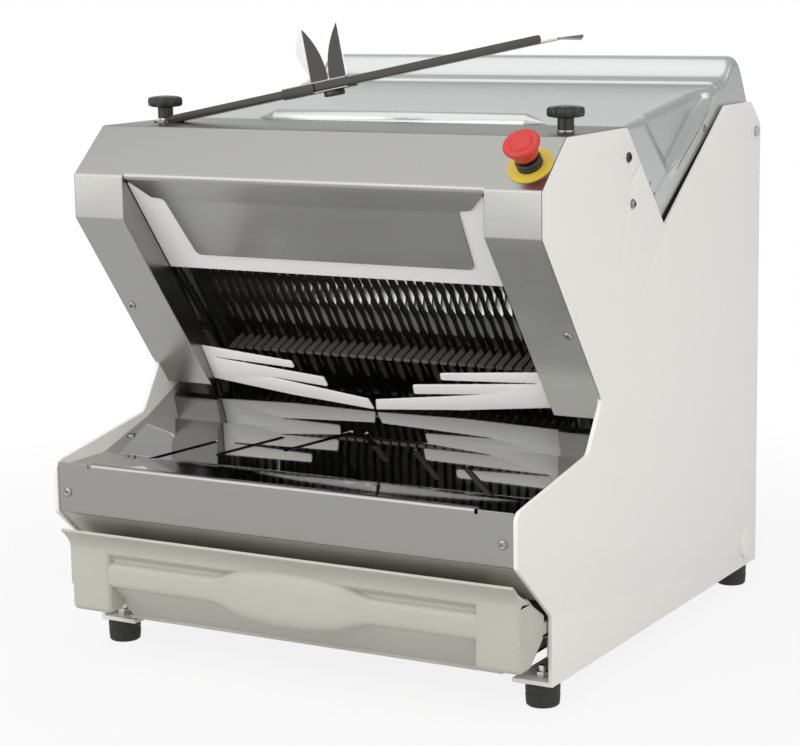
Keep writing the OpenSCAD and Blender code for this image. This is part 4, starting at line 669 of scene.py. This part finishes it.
up_side = np.linspace(0, 1, 76)
quarter = np.linspace(0, np.pi / 2, 10)
corner_r = np.minimum(np.interp(lid_y, [278, 330, 560, 615], [4, 9, 11, 12]), (lid_z - lid_foot) * 0.7)
side_z = lid_foot[:, None] + (lid_z - corner_r - lid_foot)[:, None] * up_side
side_x = LID_X + lid_bulge(lid_y[:, None], side_z)
shoulder = side_x[:, -1:] - corner_r[:, None] * (1 - np.cos(quarter))
shoulder_z = (lid_z - corner_r)[:, None] + corner_r[:, None] * np.sin(quarter)
top_x = shoulder[:, -1:] * np.linspace(1, 0, 14)[1:]
half_x = np.hstack([side_x, shoulder[:, 1:], top_x])
half_z = np.hstack([side_z, shoulder_z[:, 1:], np.repeat(lid_z[:, None], top_x.shape[1], 1)])
lid_x = np.hstack([half_x, -half_x[:, -2::-1]])
lid_grid = drawing(lid_x, lid_y[:, None], np.hstack([half_z, half_z[:, -2::-1]]))
LID_SILVER = finish("lid_silver", (0.60, 0.615, 0.61), (0.64, 0.655, 0.65), (0.24, 0.27), 1500, clouds=3.0,
                    metal=0.75, relief=0.0, rim=0.7)
lid = piece("lid_shell_drawn", [skin(lid_grid)], LID_SILVER, "lid", ["lid_shell"], soft=60,
            inside=drawing(0.0, 450.0, 520.0))
gauge(lid, LID_T, 0)
LIP_HALF, LIP_TAPER, LIP_W, LIP_H = 191.0, 26.0, 11.0, 11.0
lip_x = np.concatenate([np.linspace(-LIP_HALF, LIP_TAPER - LIP_HALF, 12),
                        np.linspace(LIP_HALF - LIP_TAPER, LIP_HALF, 12)])
taper = np.clip((LIP_HALF - np.abs(lip_x)) / LIP_TAPER, 0.02, 1)[:, None]
arch = np.linspace(0, np.pi, 17)
lip_y = 290 - LIP_W * np.cos(arch) * taper
lip_z = LID_FRONT[1] + 0.4 + (lip_y - LID_FRONT[0]) * LID_RISE + LIP_H * np.sin(arch) * taper
lip = skin(drawing(lip_x[:, None], lip_y, lip_z), ring=True, caps=True)
piece("lid_finger_lip", [lip], LID_SILVER, "lid", soft=50)
ear_outline = rounded([(600, 575, 4), (610, 548, 4), (655, 534, 6), (665, 534, 9), (679, 540, 9),
                       (679, 556, 9), (668, 562, 6), (655, 575, 4)])
ears = [slab(ear_outline, LID_X - 3, LID_X, 0.4, sideways(s)) for s in (-1, 1)]
piece("lid_hinge_ears", ears, LID_SILVER, "lid")
gasket_outline = rounded([(384, 454, 1), (556, 560.5, 1), (556, 576, 1), (384, 469, 1)])
gaskets = [slab(gasket_outline, LID_X - 6, LID_X - 0.4, 0.8, sideways(s)) for s in (-1, 1)]
piece("lid_gasket", gaskets, RUBBER, "lid", ["lid_seal"])
lid_head = [(0, 0.5), (1.6, 0.5), (1.8, 1.2), (3.2, 1.5), (4.2, 1.0), (4.5, 0), (0, 0)]
small_head = [(0, 0.9), (1.2, 0.8), (2.0, 0.4), (2.2, 0), (0, 0)]
lid_heads = []
for side in (-1, 1):
    for profile, y, z in ((lid_head, 516, 560.8), (small_head, 356, 510), (small_head, 368, 497)):
        face = LID_X + lid_bulge(np.array(float(y)), np.array(z)) - 0.1
        lid_heads.append(lathe(profile, lambda a, b, t: drawing(side * (face + t), y + a, z + b), 24))
piece("lid_button_screws", lid_heads, CHROME, "lid", ["lid_screws"])

# Pusher: bright sheet comb under the lid that drives the loaf through the blades, a finger between each two.
# Folded to a flange that is spot welded to the lid; the fingers reach down to just above the feed tray.
PUSH_TOP, PUSH_LOW = np.array([400.0, 590.6]), np.array([341.0, 349.5])
PUSH_HALF, FINGER_W, FINGER_LEN, PUSH_T = 196.0, 10.4, 122.0, 2.0
push_len = np.linalg.norm(PUSH_TOP - PUSH_LOW)
push_up = (PUSH_TOP - PUSH_LOW) / push_len
on_pusher = tilted(PUSH_LOW, push_up)
plate_outline = rounded([(-PUSH_HALF, FINGER_LEN - 1, 3), (PUSH_HALF, FINGER_LEN - 1, 3),
                         (PUSH_HALF, push_len, 1), (-PUSH_HALF, push_len, 1)])
finger = rounded([(-FINGER_W / 2, 0, 2.5), (FINGER_W / 2, 0, 2.5), (FINGER_W / 2, FINGER_LEN, 0.2),
                  (-FINGER_W / 2, FINGER_LEN, 0.2)], 4)
comb = [slab(finger + [(k + 0.5 - STEPS) * PITCH, 0], -PUSH_T, 0, 0.3, on_pusher) for k in range(2 * STEPS)]
PUSHER_STEEL = finish("pusher_steel", (0.78, 0.78, 0.76), (0.86, 0.86, 0.84), (0.30, 0.36), (4, 900, 900),
                      clouds=4.0, metal=1.0, relief=0.0)
weld_outline = rounded([(PUSH_TOP[0], PUSH_TOP[1] - 1, 1), (424, 593.4, 0.4), (424, 591.6, 0.4),
                        (399, 588.4, 0.4)])
weld_flange = slab(weld_outline, -PUSH_HALF, PUSH_HALF, 0.3, sideways())
piece("pusher_comb", comb + [slab(plate_outline, -PUSH_T, 0, 0.3, on_pusher), weld_flange], PUSHER_STEEL,
      "lid", ["bread_pusher"])

# Crumb drawer: one moulding in warm grey plastic that slides on two runners under the exit table.
# A flared lip, two end blocks and a hand grip that swells in the middle; the tub behind it holds the crumbs.
DRAWER_X, BLOCK_IN, LIP_TOP, BLOCK_TOP, TUB_FLOOR = 288.0, 235.0, 126.0, 104.0, 12.0
GRIP_Y, GRIP_Z, SWELL_X, SWELL_HALF = 27.0, 74.5, 6.0, 88.0
STONE = finish("drawer_stone", (0.46, 0.448, 0.392), (0.50, 0.488, 0.432), (0.4, 0.5), 800, relief=0.05)
flare = np.linspace(0, 1, 14)
flare_path = np.column_stack([17 - 16.4 * flare ** 1.7, BLOCK_TOP + (LIP_TOP - BLOCK_TOP) * flare])[::-1]
recess_path = folded([flare_path[-1], [17.0, 101], [25, 94], [27, 57], [70, TUB_FLOOR]], [1, 5, 6, 8, 1], 8)
front = piece("drawer_front", [spread(flare_path, [-DRAWER_X, -BLOCK_IN - 4, BLOCK_IN + 4, DRAWER_X]),
                               spread(recess_path, [-BLOCK_IN - 4, BLOCK_IN + 4])],
              STONE, "drawer", ["crumb_drawer"], soft=50, inside=drawing(0.0, 200.0, 70.0))
gauge(front, 3.5, 1.2)
grip_x = np.linspace(-BLOCK_IN - 6, BLOCK_IN + 6, 140)[:, None]
oval = np.sqrt(np.clip(1 - ((grip_x[:, 0] - SWELL_X) / SWELL_HALF) ** 2, 0, 1))
swell = np.convolve(oval, np.ones(9) / 9, "same")[:, None]
round_about = np.linspace(0, 2 * np.pi, 48, endpoint=False)
flat_sin = np.sign(np.sin(round_about)) * np.abs(np.sin(round_about)) ** 0.55
flat_cos = np.sign(np.cos(round_about)) * np.abs(np.cos(round_about)) ** 0.75
grip_y = GRIP_Y - 4 * swell - (8.5 + 6 * swell) * flat_cos
grip_z = GRIP_Z + 2 * swell + (15 + 17.5 * swell) * flat_sin
grip = skin(drawing(grip_x, grip_y, grip_z), ring=True, caps=True)
piece("drawer_grip", [grip], STONE, "drawer", soft=60)
block_outline = rounded([(17, BLOCK_TOP + 2, 2), (17, 29, 7), (43, 29, 8), (75, 54, 6), (75, 80, 6),
                         (58, 92, 4), (42, BLOCK_TOP + 2, 2)])
blocks = [slab(block_outline, BLOCK_IN, DRAWER_X + 0.5, 5.5, sideways(s)) for s in (-1, 1)]
cheek_outline = np.concatenate([flare_path + [0.3, -0.3],
                                [[17.3, 60], [74, 60], [74.6, 62], [74.6, 79], [73, 81.4]]])
cheeks = [slab(cheek_outline, DRAWER_X - 4, DRAWER_X + 0.2, 0.3, sideways(s)) for s in (-1, 1)]
piece("drawer_end_blocks", blocks + cheeks, STONE, "drawer", soft=50)
TUB_X, TUB_FRONT, TUB_BACK, RIM_LOW, RIM_TOP, WALL, WALL_R = 243.0, 70.0, 388.0, 56.0, 72.0, 4.0, 0.6
RIM_X = DRAWER_X - 0.2
spans = [(TUB_FRONT - WALL, TUB_BACK, TUB_FLOOR, TUB_FLOOR + WALL, -TUB_X, TUB_X),
         (TUB_BACK - WALL, TUB_BACK, TUB_FLOOR, RIM_TOP, -TUB_X, TUB_X)]
side_spans = [(TUB_FRONT, TUB_BACK, TUB_FLOOR, RIM_LOW + 1, TUB_X - WALL, TUB_X),
              (TUB_FRONT, TUB_BACK, RIM_LOW, RIM_LOW + WALL, TUB_X - WALL, RIM_X),
              (TUB_FRONT, TUB_BACK, RIM_LOW, RIM_TOP, DRAWER_X - WALL, RIM_X),
              (TUB_BACK - WALL, TUB_BACK, RIM_LOW, RIM_TOP, TUB_X - 1, RIM_X)]
tub = [slab(oblong(y0, y1, z0, z1, WALL_R), x0, x1, WALL_R, sideways(side))
       for side, rows in ((1, spans), (-1, side_spans), (1, side_spans)) for y0, y1, z0, z1, x0, x1 in rows]
piece("drawer_tub", tub, STONE, "drawer")

# Stop button: red mushroom head on a black collar, over a yellow disc on the chamfer.
# Turned plastic mouldings; the head twists to release, and its face has a raised ring.
CHAMFER = np.arctan2(HOOD_TOP - HOOD_EDGE, HOOD_TOP_FRONT - HOOD_FRONT)
STOP_X, STOP_Y, STOP_Z = 269.0, 87.68, 551.46
on_stop = tilted((STOP_Y, STOP_Z), unit(CHAMFER), STOP_X)
head_profile = [(0, 16.2), (12.4, 16.0), (13.2, 16.3), (14.0, 18), (15.2, 21.6), (16.9, 25.4), (18.8, 28.6),
                (19.7, 30.4), (20, 32.0), (19.7, 33.5), (18.9, 34.5), (17.6, 34.9), (15.2, 34.5),
                (13.0, 34.1), (12.5, 34.1), (12.1, 34.7), (11.4, 35.4), (10.2, 35.7), (5, 36.0), (0, 36)]
collar_profile = [(8.2, 2.05), (14, 2.05), (14, 5), (13.6, 5.4), (13.6, 6.4), (14, 6.8), (14, 10), (13.2, 11),
                  (12.0, 11.4), (8.2, 11.4), (8.2, 2.05)]
disc_profile = [(11.2, 0.1), (24.6, 0.1), (25, 0.5), (25, 1.5), (24.6, 2.0), (11.2, 2.0), (11.2, 0.1)]
STOP_RED = finish("stop_red", (0.50, 0.020, 0.014), (0.58, 0.030, 0.022), (0.34, 0.44), 400, relief=0.05)
STOP_YELLOW = finish("stop_yellow", (0.62, 0.45, 0.035), (0.70, 0.52, 0.05), (0.4, 0.5), 500, relief=0.06)
KNOB_BLACK = finish("knob_black", 0.010, 0.020, (0.32, 0.45), 600, relief=0.12)
for name, profile, used, body, slot, solid in (
        ("stop_mushroom", head_profile, STOP_RED, "stop_head", "stop_red", "estop_head"),
        ("stop_collar", collar_profile, KNOB_BLACK, "housing", "knob_black", "estop_collar"),
        ("stop_disc", disc_profile, STOP_YELLOW, "housing", "stop_yellow", "estop_ring")):
    piece(name, [lathe(profile, on_stop, 64)], used, body, [solid])
dress(KNOB_BLACK, "estop_plunger", "estop_contact", "cable_gland")

# Star knobs: black moulded heads with eight lobes on a round stem, on zinc studs through the hood's top.
# The left one also clamps the bag holder's foot.
KNOB_X, KNOB_Y, LOBES, LOBE_FROM, LOBE_FADE, LOBE_DEPTH = 259.0, 193.0, 8, 10.5, 9.0, 2.6
knob_r = np.array([0, 8.7, 9, 9, 9, 10.5, 16, 19.2, 20.3, 20.5, 20.0, 18.2, 13, 6, 0])
knob_h = np.array([0, 0, 0.4, 6, 12.2, 13.1, 13.3, 14.2, 16, 20, 23, 24.4, 25.4, 26, 26])
lobe_depth = np.clip((knob_r - LOBE_FROM) / LOBE_FADE, 0, 1) * LOBE_DEPTH
angle = np.linspace(0, 2 * np.pi, 128, endpoint=False)
radius = knob_r[:, None] - lobe_depth[:, None] * np.abs(np.cos(LOBES / 2 * angle)) ** 3
for side, word, lift in ((-1, "left", 5.0), (1, "right", 2.0)):
    knob = skin(drawing(side * KNOB_X + radius * np.cos(angle), KNOB_Y + radius * np.sin(angle),
                        HOOD_TOP + lift + knob_h[:, None] + 0 * angle), ring=True)
    piece(f"star_knob_{word}", [knob], KNOB_BLACK, f"{word}_knob", [f"knob_{word}"])
dress(ZINC, "knob_left_stud", "knob_right_stud")

# Bag arm: laser-cut steel strip that swings on the left knob and rises across the hood, with a flange turned
# up along its front edge. Its round foot lies under the knob, and its narrow tip is bent flatter and rolled.
ARM_RISE, TIP_RISE = np.radians(11.1), np.radians(2.1)
ARM_X, ARM_Z, ARM_T, ARM_W, ARM_FLANGE = -241.0, HOOD_TOP + 0.3, 2.0, 20.0, 9.0
ARM_LEN, TIP_LEN, TIP_ROLL, FLANGE_LEN, FOOT_DISC = 505.0, 24.0, 32.0, 485.0, 14.0


def on_arm(a, b, t):
    """Places a point in the arm's frame: a up along the arm, b back across it, t out of its upper face."""
    t = t + ARM_T
    return drawing(ARM_X + a * np.cos(ARM_RISE) - t * np.sin(ARM_RISE), KNOB_Y + b,
                   ARM_Z + a * np.sin(ARM_RISE) + t * np.cos(ARM_RISE))


turn = np.linspace(0, np.pi - np.arcsin(ARM_W / 2 / FOOT_DISC), 16)
arm_bend = np.array([ARM_X - ARM_T * np.tan(ARM_RISE / 2), ARM_Z + ARM_T])
arm_tip = arm_bend + ARM_LEN * unit(ARM_RISE)
foot_path = np.column_stack([-KNOB_X - FOOT_DISC * np.cos(turn), np.full(len(turn), arm_bend[1])])
tip_end = arm_tip + TIP_LEN * unit(TIP_RISE)
rise_path = folded([foot_path[-1], arm_bend, arm_tip, tip_end], [1, 12, 14, 1], 7)
rise_half = np.interp(rise_path[:, 0], arm_tip[0] + np.array([0, 2.4, TIP_LEN - 3, TIP_LEN]),
                      ARM_W / 2 * np.array([1, 0.5, 0.5, 0.3]))
strip_path = np.concatenate([foot_path, rise_path[1:]])
strip_half = np.concatenate([FOOT_DISC * np.sin(turn), rise_half[1:]])
roll_angle = np.interp(strip_path[:, 0], arm_tip[0] + np.array([0.5, 8.0]), [0, TIP_ROLL])
strip_roll = np.tan(np.radians(roll_angle))
strip_b = strip_half[:, None] * np.linspace(-1, 1, 5)
strip = skin(drawing(strip_path[:, :1], KNOB_Y + strip_b, strip_path[:, 1:] + strip_roll[:, None] * strip_b))
strip_piece = piece("bag_arm_strip", [strip], BRIGHT_SHEET, "bag_holder", ["bag_arm"],
                    inside=drawing(0.0, KNOB_Y, 300.0))
gauge(strip_piece, ARM_T, 0.3)
# Shaded steel is painted shade: the arm's flange, the clip's front and the wings' faces are the strip's own
# steel, darkened where they turn from the light.
SHADED_STEEL = finish("shaded_steel", (0.040, 0.039, 0.037), (0.075, 0.073, 0.070), (0.3, 0.42),
                      (14, 900, 900), metal=1.0)
flange_edge = rounded([(-13, 0.6, 0.2), (0, -2.1, 4), (FLANGE_LEN, -2.1, 0.3),
                       (FLANGE_LEN, ARM_FLANGE - ARM_T, 3), (0, ARM_FLANGE - ARM_T, 4), (-12.6, 3.4, 1)])
flange = slab(flange_edge, -ARM_W / 2 - 0.1, ARM_T - ARM_W / 2, 0.3, lambda a, b, t: on_arm(a, t, b))
piece("bag_arm_flange", [flange], SHADED_STEEL, "bag_holder")

# Bag clip: folded sheet that wraps the strip from below and hooks over its flange, with two wings that hold
# the bag open. Each wing is a leaf with its back turned round: its face is painted shade in dark steel and
# its back is painted light in pale sheet. A black screw beneath clamps the clip.
CLIP_AT, CLIP_LEN, CLIP_T, CLIP_GAP, PLATE_LEN, CLAMP_AT = 156.0, 86.0, 1.5, 0.3, 42.0, 61.0
clip_half, clip_low = ARM_W / 2 + CLIP_GAP + CLIP_T, -ARM_T - CLIP_GAP - CLIP_T
hook = ARM_FLANGE - ARM_T + CLIP_GAP


def clip_plate(length, b0, b1, t0, t1):
    """Flat of the clip: a rounded rectangle across the arm, carried along it from the clip's end."""
    outline = oblong(b0, b1, t0, t1, 0.5, 3)
    return slab(outline, CLIP_AT, CLIP_AT + length, 0.3, lambda a, b, t: on_arm(t, a, b))


sleeve = [clip_plate(CLIP_LEN, -clip_half, clip_half, clip_low, clip_low + CLIP_T),
          clip_plate(CLIP_LEN, -clip_half, ARM_T + CLIP_GAP + CLIP_T - ARM_W / 2, hook, hook + CLIP_T),
          clip_plate(CLIP_LEN, clip_half - CLIP_T, clip_half, clip_low, CLIP_GAP + CLIP_T),
          clip_plate(CLIP_LEN, clip_half - 7.5, clip_half, CLIP_GAP, CLIP_GAP + CLIP_T)]
piece("bag_clip_sleeve", sleeve, BRIGHT_SHEET, "bag_slider", ["bag_clip"])
# The clip's front plate is painted shade in shaded steel.
front_plate = clip_plate(PLATE_LEN, -clip_half - 0.1, CLIP_T - clip_half, clip_low, hook + 0.6)
piece("bag_clip_front", [front_plate], SHADED_STEEL, "bag_slider")
WING_H, WING_W, WING_FOOT, WINGS_AT = 61.0, 22.0, hook + CLIP_T / 2, (38.5, CLIP_LEN - 1)
up_wing, over_wing = np.linspace(0, 1, 28)[:, None], np.linspace(0, 1, 9)


def wing(at, towards, width):
    """Leaf on a fold line across the arm: at each height it reaches its width along the direction towards."""
    out = WING_W * width * over_wing
    return skin(on_arm(CLIP_AT + at + towards[0] * out, ARM_T / 2 - ARM_W / 2 + towards[1] * out,
                       WING_FOOT + WING_H * up_wing + 0 * over_wing))


leaf, petal = 1 - up_wing ** 2.2, np.sin(np.pi * up_wing ** 1.5)
back_turn = np.radians([150.0, 142.0])
faces = [wing(at, (way, 0), leaf) for at, way in zip(WINGS_AT, (1, -1))]
backs = [wing(at, unit(turn), petal) for at, turn in zip(WINGS_AT, back_turn)]
# The wings' faces are painted shade in shaded steel, and their backs are painted light in pale sheet.
for word, skins, used in (("faces", faces, SHADED_STEEL), ("backs", backs, PALE_SHEET)):
    gauge(piece(f"bag_wing_{word}", skins, used, "bag_slider"), CLIP_T, 0.3)
screw_profile = [(0, -10), (10.4, -10), (11.4, -9.6), (12, -8.8), (12, -5.2), (11.6, -4.4),
                 (11, -4.2), (0, -4.2)]
screw_knob = lathe(screw_profile, lambda a, b, t: on_arm(CLIP_AT + CLAMP_AT + a, b, t))
piece("clamp_knob", [screw_knob], KNOB_BLACK, "slider_screw", ["clamp_screw"])
